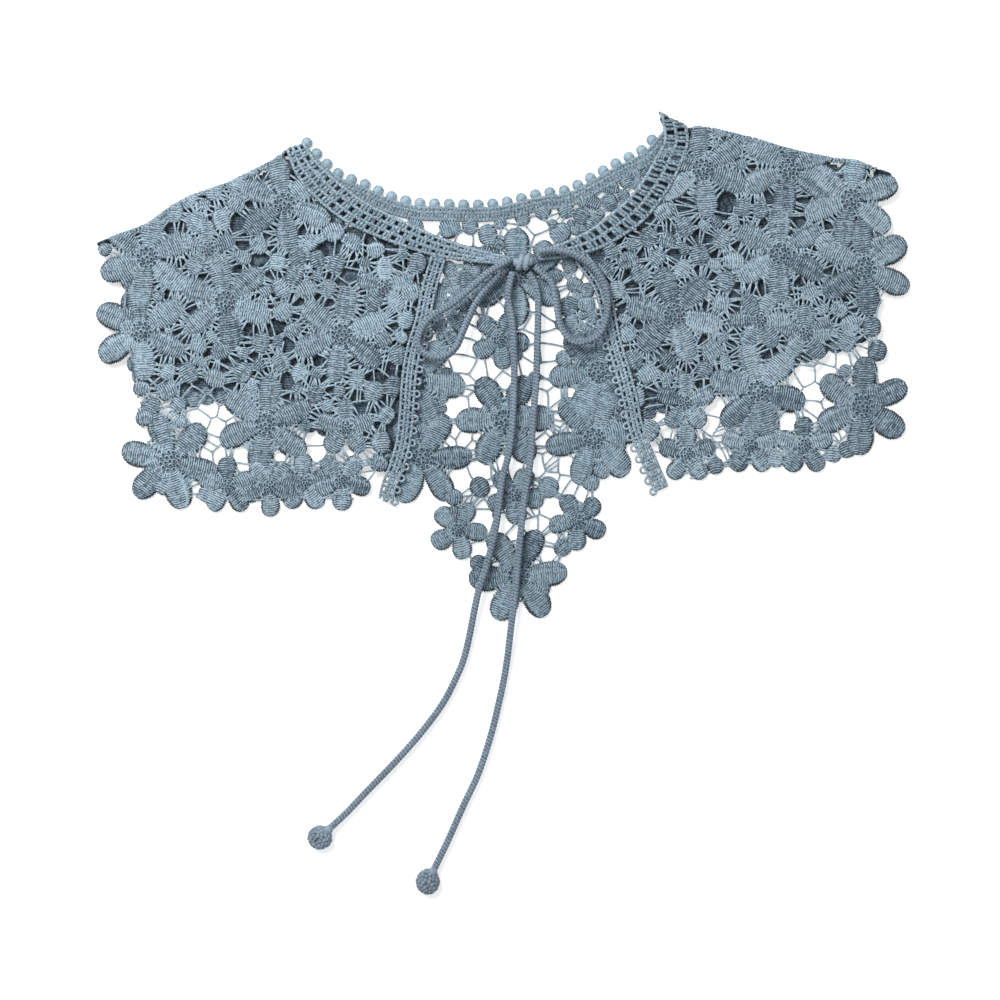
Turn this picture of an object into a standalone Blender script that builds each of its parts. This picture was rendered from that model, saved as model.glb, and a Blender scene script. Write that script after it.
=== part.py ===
"""A crocheted lace collar, folded at the shoulders and laid flat, tied in a bow at the neck.

Lengths in the tables and functions are millimetres. Each mesh is scaled to metres once, where it
is made. X runs to the right of the collar as it lies, Y up towards the neck, Z up from the table.
"""

import math
import random

import bpy
import numpy as np
from mathutils import Vector
from mathutils.geometry import delaunay_2d_cdt

MM = 0.001

# Driving dimensions
WALL = 1.4
PETAL_RELIEF = 0.8
BUD_RELIEF = 0.7
CHAIN_RELIEF = 0.4
SEAM = 0.3
LIFT = WALL + PETAL_RELIEF + 0.4
CORD = 3.7
BAR = 1.1
PETAL_MARGIN = 0.35
EDGE_MARGIN = 1.5
MESH_PITCH = 6.6
HEM_STAY = 11.0
HEM_SLOPE = 12.0
FOLD_WALL = 1.4
FOLD_INNER = 1.9
FOLD_INSET = 3.4
FOLD_FOOT = 1.0
FOLD_ROUND = 3.0
FOLD_MARGIN = 3.6
ROW_MARGIN = 0.5
PANEL_ROW_PITCH = 9.0
BAND_ROW_PITCH = 3.0
GAP_REACH = 16.0
SHORTEST_SIDE = 1.3
LEAST_GAP_AREA = 10.0
LEAST_SEEN_AREA = 5.0
DEEP_IN_PETAL = 2.5
PETAL_SIDES = 5
PICOT_SIDES = 6
SPINE = 0.42
RIDGE_HALF = 1.2
CORD_PITCH = 8.5
SEED_TRIES = 9000
SEED_ROOM = 1.6
NEAREST_SIDES = 28
STANDING_SIDES = 10
BISECTIONS = 24
ROW_SLACK = 0.1
SMOOTH_ANGLE = 50
RIDGE_SHARE = 0.6
PICOT_OUT = 0.5
EDGING_ROOM = 6.0
BELOW_KNOT = 20.0
BELOW_NECK = (0.0, 0.0)
ABOVE_NECK = (0.0, 200.0)

# Flower kinds: petals, reach to a petal's middle, half length, half width, bud radius
FLOWER_KINDS = {
    "big": (6, 16.0, 8.6, 5.6, 5.2),
    "small": (5, 9.6, 5.2, 4.3, 3.2),
    "daisy": (6, 10.4, 5.0, 4.2, 3.2),
}
LEAF = (5.4, 4.4)

# Flowers: kind, x, y, turn in degrees
LEFT_FLOWERS = (
    ("big", -139.0, 32.5, 39),
    ("big", -109.5, 81.5, 37),
    ("big", -181.0, 17.5, 33),
    ("big", -178.0, 54.5, 21),
    ("big", -167.0, -47.0, 46),
    ("big", -119.0, -28.5, 23),
    ("big", -81.0, 16.0, 21),
    ("small", -148.0, 58.5, 20),
    ("small", -138.0, -59.5, 18),
    ("small", -117.0, -60.0, 54),
    ("small", -100.0, -58.0, 18),
    ("small", -81.0, -57.0, 54),
    ("small", -79.0, -30.5, 18),
    ("small", -59.5, 40.0, 18),
)
RIGHT_FLOWERS = (
    ("big", 99.0, 98.5, 36),
    ("big", 137.5, 56.5, 31),
    ("big", 180.0, 49.5, 34),
    ("big", 85.0, 26.0, 47),
    ("big", 126.5, -12.0, 45),
    ("big", 179.0, -19.5, 26),
    ("big", 142.0, 98.5, 25),
    ("big", 173.0, 83.5, 20),
    ("daisy", 127.5, 23.0, 0),
    ("small", 150.5, 16.5, 18),
    ("small", 123.0, -39.5, 18),
    ("small", 150.0, -39.5, 18),
    ("small", 91.5, -43.5, 18),
    ("small", 90.5, -18.0, 18),
)
BACK_FLOWERS = (
    ("big", 0.5, -26.5, 2),
    ("big", -40.5, -45.5, 2),
    ("big", 45.0, -35.5, 11),
    ("big", 7.0, -104.0, 4),
    ("big", 6.0, 45.0, 30),
    ("big", 47.0, -2.5, 8),
    ("big", -44.0, -8.0, -5),
    ("small", -23.0, -81.5, -8),
    ("small", 37.0, -77.0, -24),
    ("small", 5.5, -64.0, 60),
    ("small", -2.0, 13.5, 135),
)
HIDDEN_BACK_FLOWERS = (
    ("big", -88.0, 4.0, 10),
    ("big", -130.0, 14.0, 25),
    ("big", -168.0, 26.0, 40),
    ("big", -66.0, 48.0, 20),
    ("big", -112.0, 56.0, 5),
    ("big", -156.0, 66.0, 30),
    ("big", 86.0, 8.0, 15),
    ("big", 128.0, 28.0, 30),
    ("big", 168.0, 34.0, 0),
    ("big", 72.0, 56.0, 25),
    ("big", 116.0, 74.0, 10),
    ("big", 160.0, 78.0, 35),
)

# Single leaves between the flowers: x, y, turn in degrees
LEFT_LEAVES = (
    (-85.0, 67.0, 20),
    (-83.5, 51.0, 70),
    (-102.5, 54.5, 110),
    (-104.0, 46.0, 60),
    (-98.0, 38.5, 20),
    (-111.0, 39.0, 120),
    (-43.5, 51.5, 80),
    (-46.0, 37.0, 20),
    (-65.0, -12.5, 60),
    (-61.0, -37.5, 90),
    (-164.5, 77.0, 80),
    (-153.5, 72.0, 70),
    (-141.0, 73.0, 110),
    (-157.0, 84.0, 50),
    (-144.5, 88.0, 80),
    (-134.0, 92.0, 60),
    (-110.0, 27.5, 30),
    (-121.0, 12.0, 80),
    (-111.0, 2.0, 120),
    (-141.0, 7.5, 20),
    (-144.0, -6.0, 160),
    (-130.5, -3.0, 60),
    (-157.0, -3.0, 120),
    (-176.0, -20.0, 60),
    (-168.0, -12.0, 20),
    (-76.0, 62.0, 150),
    (-53.0, 6.0, 100),
    (-55.0, -10.0, 80),
)
RIGHT_LEAVES = (
    (73.0, -32.0, 60),
    (66.0, -15.0, 100),
    (71.5, -3.5, 30),
    (64.5, 3.5, 120),
    (158.5, 17.0, 0),
    (171.5, 12.5, 60),
    (173.0, 21.5, 20),
    (183.0, 20.0, 90),
    (186.0, 8.0, 70),
    (80.0, 77.5, 30),
    (90.0, 69.5, 120),
    (72.0, 64.5, 60),
    (62.0, 52.5, 20),
    (98.0, 56.0, 100),
    (109.0, 63.5, 60),
    (114.5, 52.5, 0),
    (68.0, 46.0, 120),
    (110.5, 42.5, 70),
    (104.0, 8.0, 30),
    (160.0, 62.0, 40),
)
BACK_LEAVES = (
    (-19.0, 42.5, 90),
    (-27.0, 69.0, 20),
    (28.0, 67.0, 40),
    (20.0, 58.0, 120),
    (-8.0, 66.0, 100),
    (33.0, 30.0, 70),
    (22.0, -60.0, 60),
    (-12.0, -60.0, 120),
)

# Neckbands: x, y, half width of the centreline's points, shoulder fold to knot
LEFT_NECKBAND = (
    (-105.7, 113.3, 4.4),
    (-99.5, 100.5, 6.0),
    (-92.5, 92.0, 6.8),
    (-83.5, 84.0, 7.0),
    (-73.0, 76.5, 6.8),
    (-59.5, 70.0, 6.4),
    (-46.0, 64.5, 5.8),
    (-32.0, 59.5, 4.8),
    (-14.5, 55.5, 3.4),
    (2.6, 52.6, 2.2),
)
RIGHT_NECKBAND = (
    (83.0, 130.0, 5.4),
    (86.0, 113.5, 6.2),
    (82.5, 103.5, 6.6),
    (78.0, 94.5, 6.8),
    (72.0, 85.5, 6.8),
    (65.0, 77.5, 6.8),
    (55.5, 70.0, 6.4),
    (45.0, 63.5, 5.4),
    (33.0, 59.0, 4.2),
    (17.2, 55.0, 2.2),
)

# Front edgings: x, y of the centreline's points, neckband to hem
LEFT_EDGING = (
    (-32.8, 54.3),
    (-37.5, 38.5),
    (-40.5, 23.5),
    (-45.0, 8.5),
    (-47.5, -6.5),
    (-48.5, -21.5),
    (-50.0, -36.5),
    (-53.0, -48.0),
    (-57.5, -60.0),
    (-59.0, -66.5),
)
RIGHT_EDGING = (
    (38.4, 54.4),
    (48.0, 41.0),
    (51.5, 28.5),
    (54.5, 13.5),
    (59.0, -1.5),
    (63.0, -16.5),
    (65.5, -29.0),
    (69.0, -39.0),
    (74.0, -50.5),
    (78.5, -60.5),
)
EDGING_HALF = 3.8
SMALL_PICOT = 2.1
SMALL_PICOT_PITCH = 6.0
PICOTS_FROM = 2

# The back's neck arc: x, y of the picots' line, left shoulder to right shoulder
NECK_ARC = (
    (-98.5, 112.0),
    (-91.0, 104.0),
    (-82.5, 96.5),
    (-70.0, 91.5),
    (-57.0, 85.5),
    (-43.5, 82.0),
    (-29.0, 81.5),
    (-13.0, 81.0),
    (1.5, 82.5),
    (17.5, 86.5),
    (31.5, 88.5),
    (45.0, 95.5),
    (56.5, 102.0),
    (69.0, 108.5),
    (78.6, 119.0),
)
BACK_BAND_TOP = 1.4
BACK_BAND_BOTTOM = 8.6
PICOT = 2.5
PICOT_PITCH = 7.3

# Shoulder folds: x, y from the neck outwards
LEFT_FOLD = (
    (-98.5, 112.5),
    (-107.5, 110.2),
    (-117.0, 103.5),
    (-138.0, 93.0),
    (-157.0, 86.5),
    (-167.0, 81.0),
    (-178.5, 72.5),
    (-193.0, 67.0),
    (-198.5, 61.0),
)
RIGHT_FOLD = (
    (79.0, 127.0),
    (90.5, 121.5),
    (105.5, 120.0),
    (128.0, 114.5),
    (143.0, 109.5),
    (163.0, 105.5),
    (176.0, 104.0),
    (185.5, 100.5),
    (189.0, 95.5),
)

# Hems: x, y of the net's edge between the flowers that stand out of it
LEFT_HEM = (
    (-197.5, 54.0),
    (-189.0, 44.0),
    (-189.5, 20.0),
    (-186.0, 6.0),
    (-183.0, -7.0),
    (-182.0, -24.0),
    (-178.0, -38.0),
    (-177.0, -56.0),
    (-166.0, -63.5),
    (-152.0, -65.0),
    (-128.0, -66.5),
    (-104.0, -65.5),
    (-84.0, -65.5),
    (-72.0, -66.0),
)
RIGHT_HEM = (
    (187.0, 84.0),
    (188.5, 70.0),
    (189.0, 54.0),
    (190.0, 38.0),
    (186.0, 28.0),
    (185.5, 14.0),
    (184.0, 4.0),
    (187.0, -10.0),
    (185.0, -31.0),
    (176.0, -41.0),
    (160.0, -46.5),
    (143.0, -47.5),
    (116.0, -48.5),
    (104.0, -52.0),
    (92.0, -56.0),
)
BACK_HEM = (
    (183.0, 84.0),
    (181.0, 58.0),
    (181.5, 34.0),
    (178.0, 14.0),
    (158.0, 7.5),
    (145.5, 2.0),
    (105.5, -14.0),
    (82.0, -20.0),
    (66.0, -29.0),
    (53.0, -50.0),
    (44.5, -60.0),
    (44.0, -76.0),
    (33.0, -89.0),
    (27.0, -97.0),
    (20.0, -112.0),
    (8.0, -117.0),
    (-2.0, -116.0),
    (-10.0, -108.0),
    (-15.0, -98.0),
    (-21.0, -89.0),
    (-28.0, -81.0),
    (-26.0, -68.0),
    (-32.0, -57.0),
    (-40.0, -52.0),
    (-54.0, -49.0),
    (-60.0, -41.5),
    (-84.5, -33.0),
    (-97.0, -30.5),
    (-138.0, -16.5),
    (-159.5, -17.5),
    (-183.5, -5.5),
    (-186.0, 16.0),
    (-187.0, 38.0),
    (-190.0, 54.0),
)
HEM_REACH = 26.0

# Gaps seen white in the photo, where one layer of lace lies: x, y
BACK_GAPS = (
    (-34.0, 70.5),
    (-25.0, 70.5),
    (-28.0, 66.0),
    (-20.0, 63.5),
    (-12.0, 64.5),
    (3.0, 66.5),
    (10.5, 66.0),
    (16.5, 70.5),
    (19.5, 63.5),
    (-3.5, 26.0),
    (-13.5, 22.5),
    (-16.5, 17.0),
    (-19.0, 8.5),
    (-20.0, 2.0),
    (-20.5, -9.0),
    (-12.0, -2.5),
    (-6.0, -1.5),
    (0.0, -7.0),
    (12.0, 38.5),
    (20.5, 39.5),
    (29.0, 37.5),
    (14.0, 34.0),
    (8.5, 23.5),
    (13.5, 21.0),
    (20.5, 22.0),
    (10.5, 14.5),
    (23.0, 15.0),
    (21.5, 7.0),
    (11.0, 0.5),
    (22.5, -2.0),
    (25.0, -15.0),
    (32.0, -14.0),
    (18.0, -15.0),
    (29.0, -20.0),
    (27.5, -26.5),
    (16.5, -32.0),
    (24.5, -31.5),
    (31.5, -31.5),
    (20.0, -36.5),
    (-22.5, -19.0),
    (-13.5, -18.5),
    (-25.0, -32.0),
    (-28.5, -35.5),
    (-20.0, -35.5),
    (-12.0, -35.5),
    (-14.5, -40.5),
    (44.0, -18.0),
    (-23.0, -54.0),
    (-11.5, -50.5),
    (-18.5, -61.5),
    (-2.5, -49.5),
    (7.0, -47.5),
    (-7.0, -63.0),
    (17.0, -50.0),
    (23.0, -55.5),
    (30.5, -49.0),
    (29.0, -59.0),
    (16.0, -61.0),
    (33.5, -62.0),
    (38.0, -64.0),
    (22.5, -70.5),
    (-12.0, -76.5),
    (-14.5, -92.5),
    (0.0, -80.0),
    (4.5, -84.0),
    (14.0, -78.5),
    (18.5, -79.0),
    (24.5, -87.0),
    (28.0, -89.5),
    (23.5, -93.0),
)
LEFT_GAPS = (
    (-155.0, -15.0),
    (-147.0, -20.0),
    (-138.0, -22.0),
    (-152.0, -27.0),
    (-143.0, -31.0),
    (-134.0, -30.0),
    (-150.0, -44.0),
    (-141.0, -43.0),
    (-131.0, -44.0),
    (-147.0, -55.0),
    (-151.0, -60.0),
    (-94.0, -35.5),
    (-94.0, -42.5),
    (-87.0, -50.5),
    (-69.5, -44.0),
    (-61.5, -55.5),
    (-64.5, -61.5),
)
RIGHT_GAPS = (
    (150.5, -3.5),
    (143.0, -7.5),
    (161.5, 5.0),
    (169.0, 5.0),
    (155.5, -13.5),
    (155.5, -21.5),
    (163.0, -19.0),
    (142.0, -27.0),
    (152.0, -26.5),
    (170.5, -39.0),
    (138.5, -49.0),
    (105.5, -21.0),
    (103.5, -28.0),
    (97.0, -35.5),
    (80.5, -35.5),
    (78.0, -51.5),
    (74.5, -25.0),
    (64.0, -30.0),
    (176.5, 75.5),
    (181.0, 71.0),
    (183.0, 64.5),
)

# Most gaps cut through each panel
MOST_GAPS = {"back": 104, "front_left": 60, "front_right": 60}

# The tie: x, y, z of the cord's centreline
LEFT_LOOP = (
    (3.4, 53.5, 6.9),
    (-9.0, 45.6, 7.6),
    (-24.0, 32.5, 7.6),
    (-38.0, 23.0, 7.6),
    (-43.0, 12.0, 7.6),
    (-38.0, 5.5, 7.6),
    (-30.5, 4.5, 7.2),
    (-24.0, 9.5, 6.4),
    (-19.0, 21.0, 5.4),
    (-12.5, 34.0, 5.0),
    (-2.4, 46.0, 5.0),
)
RIGHT_LOOP = (
    (17.0, 56.8, 7.4),
    (24.0, 57.8, 7.6),
    (33.5, 56.0, 7.6),
    (43.0, 50.5, 7.6),
    (50.0, 40.0, 7.6),
    (51.5, 28.5, 7.6),
    (48.0, 17.0, 7.6),
    (41.0, 12.5, 7.4),
    (33.5, 13.0, 6.6),
    (28.0, 21.0, 5.6),
    (26.0, 32.5, 5.2),
    (23.6, 42.0, 5.0),
    (15.2, 49.8, 5.0),
)
LEFT_TAIL = (
    (4.4, 47.2, 5.0),
    (3.0, 42.0, 4.8),
    (2.0, 34.5, 4.6),
    (4.0, 23.0, 4.6),
    (5.0, 7.5, 4.6),
    (5.0, -11.5, 4.6),
    (4.0, -31.0, 4.6),
    (2.0, -45.0, 4.6),
    (-1.0, -56.5, 4.6),
    (-4.0, -79.5, 4.6),
    (-9.0, -100.5, 4.6),
    (-13.0, -113.0, 4.4),
    (-19.0, -142.0, 2.2),
    (-24.5, -156.5, 2.0),
    (-31.5, -169.5, 2.0),
    (-42.5, -184.0, 2.0),
    (-55.0, -198.0, 2.0),
    (-69.0, -212.5, 2.0),
    (-79.0, -223.0, 2.0),
    (-86.6, -230.0, 2.3),
)
RIGHT_TAIL = (
    (12.2, 46.6, 5.0),
    (15.6, 41.0, 4.8),
    (17.0, 32.0, 4.6),
    (16.5, 7.5, 4.6),
    (16.0, -8.0, 4.6),
    (14.5, -26.0, 4.6),
    (13.0, -48.0, 4.6),
    (10.0, -67.0, 4.6),
    (7.0, -96.5, 4.6),
    (5.5, -113.0, 4.6),
    (3.5, -130.0, 4.4),
    (1.0, -150.0, 2.4),
    (-2.5, -167.5, 2.0),
    (-7.0, -185.5, 2.0),
    (-13.0, -203.5, 2.0),
    (-20.0, -218.5, 2.0),
    (-28.0, -236.5, 2.0),
    (-34.9, -250.8, 2.3),
)
KNOT_CENTRE = (9.6, 51.8, 5.8)
KNOT_SIZE = (5.4, 4.6, 3.0)
BOBBLE = 6.1
BOBBLE_HEIGHT = 2.9
BOBBLE_START = 0.9
BOBBLE_SHIFT = 0.2
BOBBLE_ROUND = 0.6
BOBBLE_CLEAR = 0.05
BOBBLE_RINGS = 9
BALL_SIDES = 12
KNOT_RINGS = 7
KNOT_DIP = 0.14

# The bobble's neck: distance along, half width, half height
BOBBLE_NECK = (
    (0.0, 1.6, 1.5),
    (0.5, 2.3, 1.8),
    (1.6, 2.4, 2.0),
)

BLUE = (0.225, 0.325, 0.40)
DEEP_BLUE = (0.155, 0.245, 0.315)
CORD_BLUE = (0.20, 0.27, 0.355)


def material(name, colour):
    made = bpy.data.materials.new(name)
    made.use_nodes = True
    shader = made.node_tree.nodes["Principled BSDF"]
    shader.inputs["Base Color"].default_value = (*colour, 1.0)
    shader.inputs["Roughness"].default_value = 0.9
    shader.inputs["Metallic"].default_value = 0.0
    made.diffuse_color = (*colour, 1.0)
    return made


def oval(x, y, turn, half_length, half_width, sides):
    """Corners of an oval, anticlockwise, with its long axis along turn."""
    corners = []
    for i in range(sides):
        step = math.tau * (i + 0.5) / sides
        u = half_length * math.cos(step)
        v = half_width * math.sin(step)
        corners.append(
            (x + u * math.cos(turn) - v * math.sin(turn), y + u * math.sin(turn) + v * math.cos(turn))
        )
    return corners


def petals_of(flowers, leaves):
    """Ovals as (x, y, turn, half length, half width), for the petals and the single leaves."""
    ovals = []
    for kind, x, y, turn in flowers:
        count, reach, half_length, half_width, _ = FLOWER_KINDS[kind]
        for i in range(count):
            angle = math.radians(turn) + math.tau * i / count
            centre = (x + reach * math.cos(angle), y + reach * math.sin(angle))
            ovals.append((*centre, angle, half_length, half_width))
    for x, y, turn in leaves:
        ovals.append((x, y, math.radians(turn), *LEAF))
    return ovals


def buds_of(flowers):
    """Discs as (x, y, radius), for the flowers' middles."""
    return [(x, y, FLOWER_KINDS[kind][4]) for kind, x, y, _ in flowers]


def inside(point, polygon):
    x, y = point
    hit = False
    for (ax, ay), (bx, by) in zip(polygon, polygon[1:] + polygon[:1]):
        if (ay > y) != (by > y) and x < ax + (bx - ax) * (y - ay) / (by - ay):
            hit = not hit
    return hit


def nearest_on_path(point, path):
    """The nearest point of a path of straight pieces, and its distance."""
    best = (None, math.inf)
    px, py = point
    for (ax, ay), (bx, by) in zip(path, path[1:]):
        dx, dy = bx - ax, by - ay
        along = ((px - ax) * dx + (py - ay) * dy) / (dx * dx + dy * dy)
        along = min(1.0, max(0.0, along))
        foot = (ax + along * dx, ay + along * dy)
        away = math.hypot(px - foot[0], py - foot[1])
        if away < best[1]:
            best = (foot, away)
    return best


def nearest_on_oval(point, shape):
    """The nearest point of an oval, the outward direction there, and how far outside it lies."""
    x, y, turn, half_length, half_width = shape
    corners = oval(x, y, turn, half_length, half_width, NEAREST_SIDES)
    foot = min(corners, key=lambda corner: math.dist(point, corner))
    u = (foot[0] - x) * math.cos(turn) + (foot[1] - y) * math.sin(turn)
    v = (foot[1] - y) * math.cos(turn) - (foot[0] - x) * math.sin(turn)
    out_u, out_v = u / half_length**2, v / half_width**2
    size = math.hypot(out_u, out_v)
    normal = (
        (out_u * math.cos(turn) - out_v * math.sin(turn)) / size,
        (out_u * math.sin(turn) + out_v * math.cos(turn)) / size,
    )
    away = (point[0] - foot[0]) * normal[0] + (point[1] - foot[1]) * normal[1]
    return foot, normal, math.copysign(math.dist(point, foot), away)


def cut(polygon, foot, normal):
    """The part of a convex polygon on the side of the line through foot that normal points to."""
    kept = []
    for a, b in zip(polygon, polygon[1:] + polygon[:1]):
        da = (a[0] - foot[0]) * normal[0] + (a[1] - foot[1]) * normal[1]
        db = (b[0] - foot[0]) * normal[0] + (b[1] - foot[1]) * normal[1]
        if da >= 0:
            kept.append(a)
        if (da >= 0) != (db >= 0):
            share = da / (da - db)
            kept.append((a[0] + share * (b[0] - a[0]), a[1] + share * (b[1] - a[1])))
    return kept


def area_of(polygon):
    total = 0.0
    for (ax, ay), (bx, by) in zip(polygon, polygon[1:] + polygon[:1]):
        total += ax * by - bx * ay
    return total / 2


def without_short_sides(polygon, shortest):
    """Joins corners that lie close together."""
    corners = list(polygon)
    while len(corners) > 3:
        sides = [math.dist(corners[i], corners[i - 1]) for i in range(len(corners))]
        i = min(range(len(corners)), key=sides.__getitem__)
        if sides[i] >= shortest:
            break
        a, b = corners[i - 1], corners[i]
        corners[i] = ((a[0] + b[0]) / 2, (a[1] + b[1]) / 2)
        del corners[i - 1]
    return corners


def gap_seeds(fixed, ovals, fences, edge, chance):
    """Middles of the net's gaps: those read from the photo, then more wherever net is free."""
    seeds = list(fixed)
    xs = [p[0] for p in edge]
    ys = [p[1] for p in edge]
    for _ in range(SEED_TRIES):
        point = (chance.uniform(min(xs), max(xs)), chance.uniform(min(ys), max(ys)))
        if not inside(point, edge):
            continue
        if any(math.dist(point, other) < MESH_PITCH for other in seeds):
            continue
        if any(nearest_on_path(point, path)[1] < margin + SEED_ROOM for path, margin in fences):
            continue
        if min(nearest_on_oval(point, shape)[2] for shape in ovals) > SEED_ROOM:
            seeds.append(point)
    return seeds


def gap_polygon(seed, seeds, ovals, fences):
    """The straight-sided gap round a seed, kept clear of petals, edges and the next gaps."""
    x, y = seed
    reach = GAP_REACH
    left, right, low, high = x - reach, x + reach, y - reach, y + reach
    polygon = [(left, low), (right, low), (right, high), (left, high)]
    walls = []
    for other in seeds:
        away = math.dist(seed, other)
        if 0 < away < 2 * reach:
            middle = ((x + other[0]) / 2, (y + other[1]) / 2)
            walls.append((middle, ((x - other[0]) / away, (y - other[1]) / away), BAR / 2))
    for shape in ovals:
        foot, normal, away = nearest_on_oval(seed, shape)
        if -DEEP_IN_PETAL < away < reach:
            walls.append((foot, normal, PETAL_MARGIN))
    for path, margin in fences:
        for a, b in zip(path, path[1:]):
            foot, away = nearest_on_path(seed, (a, b))
            if 0 < away < 2 * reach:
                walls.append((foot, ((x - foot[0]) / away, (y - foot[1]) / away), margin))
    for foot, normal, margin in walls:
        moved = (foot[0] + normal[0] * margin, foot[1] + normal[1] * margin)
        polygon = cut(polygon, moved, normal)
        if len(polygon) < 3:
            return None
    return without_short_sides(polygon, SHORTEST_SIDE)


def cut_gaps(name, fixed, ovals, fences, edge):
    """The largest gaps of a panel, over the smallest size that is cut through."""
    seeds = gap_seeds(fixed, ovals, fences, edge, random.Random(name))
    polygons = [gap_polygon(seed, seeds, ovals, fences) for seed in seeds]
    seen = [p for p in polygons[: len(fixed)] if p and area_of(p) > LEAST_SEEN_AREA]
    more = [p for p in polygons[len(fixed) :] if p and area_of(p) > LEAST_GAP_AREA]
    more.sort(key=area_of, reverse=True)
    return (seen + more)[: MOST_GAPS[name]]


def offset_path(path, away):
    """A path moved to its left by away, a number or one number a point."""
    moved = []
    for i, (x, y) in enumerate(path):
        before = path[max(i - 1, 0)]
        after = path[min(i + 1, len(path) - 1)]
        dx, dy = after[0] - before[0], after[1] - before[1]
        size = math.hypot(dx, dy)
        by = away[i] if isinstance(away, (list, tuple)) else away
        moved.append((x - dy / size * by, y + dx / size * by))
    return moved


def points_along(path, pitch):
    """Points at an even pitch along a path."""
    lengths = [math.dist(a, b) for a, b in zip(path, path[1:])]
    count = max(1, round(sum(lengths) / pitch))
    wanted = [sum(lengths) * i / count for i in range(count + 1)]
    points = []
    start, piece = 0.0, 0
    for distance in wanted:
        while piece < len(lengths) - 1 and distance > start + lengths[piece]:
            start += lengths[piece]
            piece += 1
        share = (distance - start) / lengths[piece]
        a, b = path[piece], path[piece + 1]
        points.append((a[0] + share * (b[0] - a[0]), a[1] + share * (b[1] - a[1])))
    return points


def relief_at(x, y, ovals, discs, ridges):
    """How far the wall's top is raised by the petals, discs and ridges over this place."""
    raised = 0.0
    for ox, oy, turn, half_length, half_width in ovals:
        u = (x - ox) * math.cos(turn) + (y - oy) * math.sin(turn)
        v = (y - oy) * math.cos(turn) - (x - ox) * math.sin(turn)
        dome = 1 - (u / half_length) ** 2 - (v / half_width) ** 2
        raised = max(raised, PETAL_RELIEF * max(0.0, dome) ** 0.5)
    for dx, dy, radius in discs:
        dome = 1 - ((x - dx) ** 2 + (y - dy) ** 2) / radius**2
        raised = max(raised, BUD_RELIEF * max(0.0, dome) ** 0.5)
    for path in ridges:
        slope = 1 - nearest_on_path((x, y), path)[1] / RIDGE_HALF
        raised = max(raised, CHAIN_RELIEF * max(0.0, slope))
    return raised


def grouped(triangles, corner=None):
    """Sets of triangles joined over their sides, or only over the sides that hold a corner."""
    by_side = {}
    for index, corners in enumerate(triangles):
        for i in range(3):
            side = frozenset((corners[i], corners[i - 1]))
            if corner is None or corner in side:
                by_side.setdefault(side, []).append(index)
    next_to = [set() for _ in triangles]
    for indices in by_side.values():
        for index in indices:
            next_to[index].update(indices)
    seen, groups = set(), []
    for start in range(len(triangles)):
        if start in seen:
            continue
        seen.add(start)
        group, queue = [], [start]
        while queue:
            index = queue.pop()
            group.append(triangles[index])
            fresh = next_to[index] - seen
            seen |= fresh
            queue += sorted(fresh)
        groups.append(group)
    return sorted(groups, key=len)


def border_of(triangles):
    """The sides that belong to one triangle only, in the triangles' own direction."""
    sides = {(t[i - 1], t[i]) for t in triangles for i in range(3)}
    return sorted((a, b) for a, b in sides if (b, a) not in sides)


def one_body(triangles):
    """The largest body, without the triangles that touch the rest of it at a corner only."""
    while True:
        triangles = grouped(triangles)[-1]
        around = {}
        for corners in triangles:
            for corner in corners:
                around.setdefault(corner, []).append(corners)
        starts = [a for a, _ in border_of(triangles)]
        pinched = {corner for corner in starts if starts.count(corner) > 1}
        if not pinched:
            return triangles
        dropped = set()
        for corner in pinched:
            for group in grouped(around[corner], corner)[:-1]:
                dropped.update(group)
        triangles = [t for t in triangles if t not in dropped]


def joined_shapes(clip, solids, gaps, relief, spots, rows):
    """Flat points and triangles of the solids joined inside the clip, with the gaps cut out."""
    points, faces = [], []
    for polygon in [clip] + solids + gaps + relief:
        corners = list(range(len(points), len(points) + len(polygon)))
        faces.append(corners if area_of(polygon) > 0 else corners[::-1])
        points += polygon
    points += spots
    sides = []
    for row in rows:
        sides += [(len(points) + i, len(points) + i + 1) for i in range(len(row) - 1)]
        points += row
    out = delaunay_2d_cdt([Vector(p) for p in points], sides, faces, 0, 1e-3, True)
    first_gap = 1 + len(solids)
    first_relief = first_gap + len(gaps)
    kept = []
    for corners, shapes in zip(out[2], out[5]):
        is_solid = any(1 <= s < first_gap for s in shapes)
        is_gap = any(first_gap <= s < first_relief for s in shapes)
        if 0 in shapes and is_solid and not is_gap:
            kept.append(tuple(corners))
    return [tuple(p) for p in out[0]], one_body(kept)


def plain_side(border_points, sides, rows):
    """Triangles over the same border, with the points of rows and no others inside it."""
    points = list(border_points)
    lines = list(sides)
    for row in rows:
        lines += [(len(points) + i, len(points) + i + 1) for i in range(len(row) - 1)]
        points += row
    out = delaunay_2d_cdt([Vector(p) for p in points], lines, [], 0, 1e-7, True)
    starts = np.array([border_points[a] for a, _ in sides])
    ends = np.array([border_points[b] for _, b in sides])
    source = [ids[0] for ids in out[3]]
    kept = []
    for corners in out[2]:
        x, y = np.mean([tuple(out[0][c]) for c in corners], axis=0)
        beside = (starts[:, 1] > y) != (ends[:, 1] > y)
        a, b = starts[beside], ends[beside]
        crossings = a[:, 0] + (b[:, 0] - a[:, 0]) * (y - a[:, 1]) / (b[:, 1] - a[:, 1])
        if (crossings > x).sum() % 2:
            kept.append(tuple(source[c] for c in corners))
    return points, kept


def add_mesh(name, points, faces, made_of):
    mesh = bpy.data.meshes.new(name)
    mesh.from_pydata([tuple(c * MM for c in p) for p in points], [], faces)
    mesh.materials.append(made_of)
    mesh.shade_smooth()
    mesh.set_sharp_from_angle(angle=math.radians(SMOOTH_ANGLE))
    obj = bpy.data.objects.new(name, mesh)
    bpy.context.scene.collection.objects.link(obj)
    return obj


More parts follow.
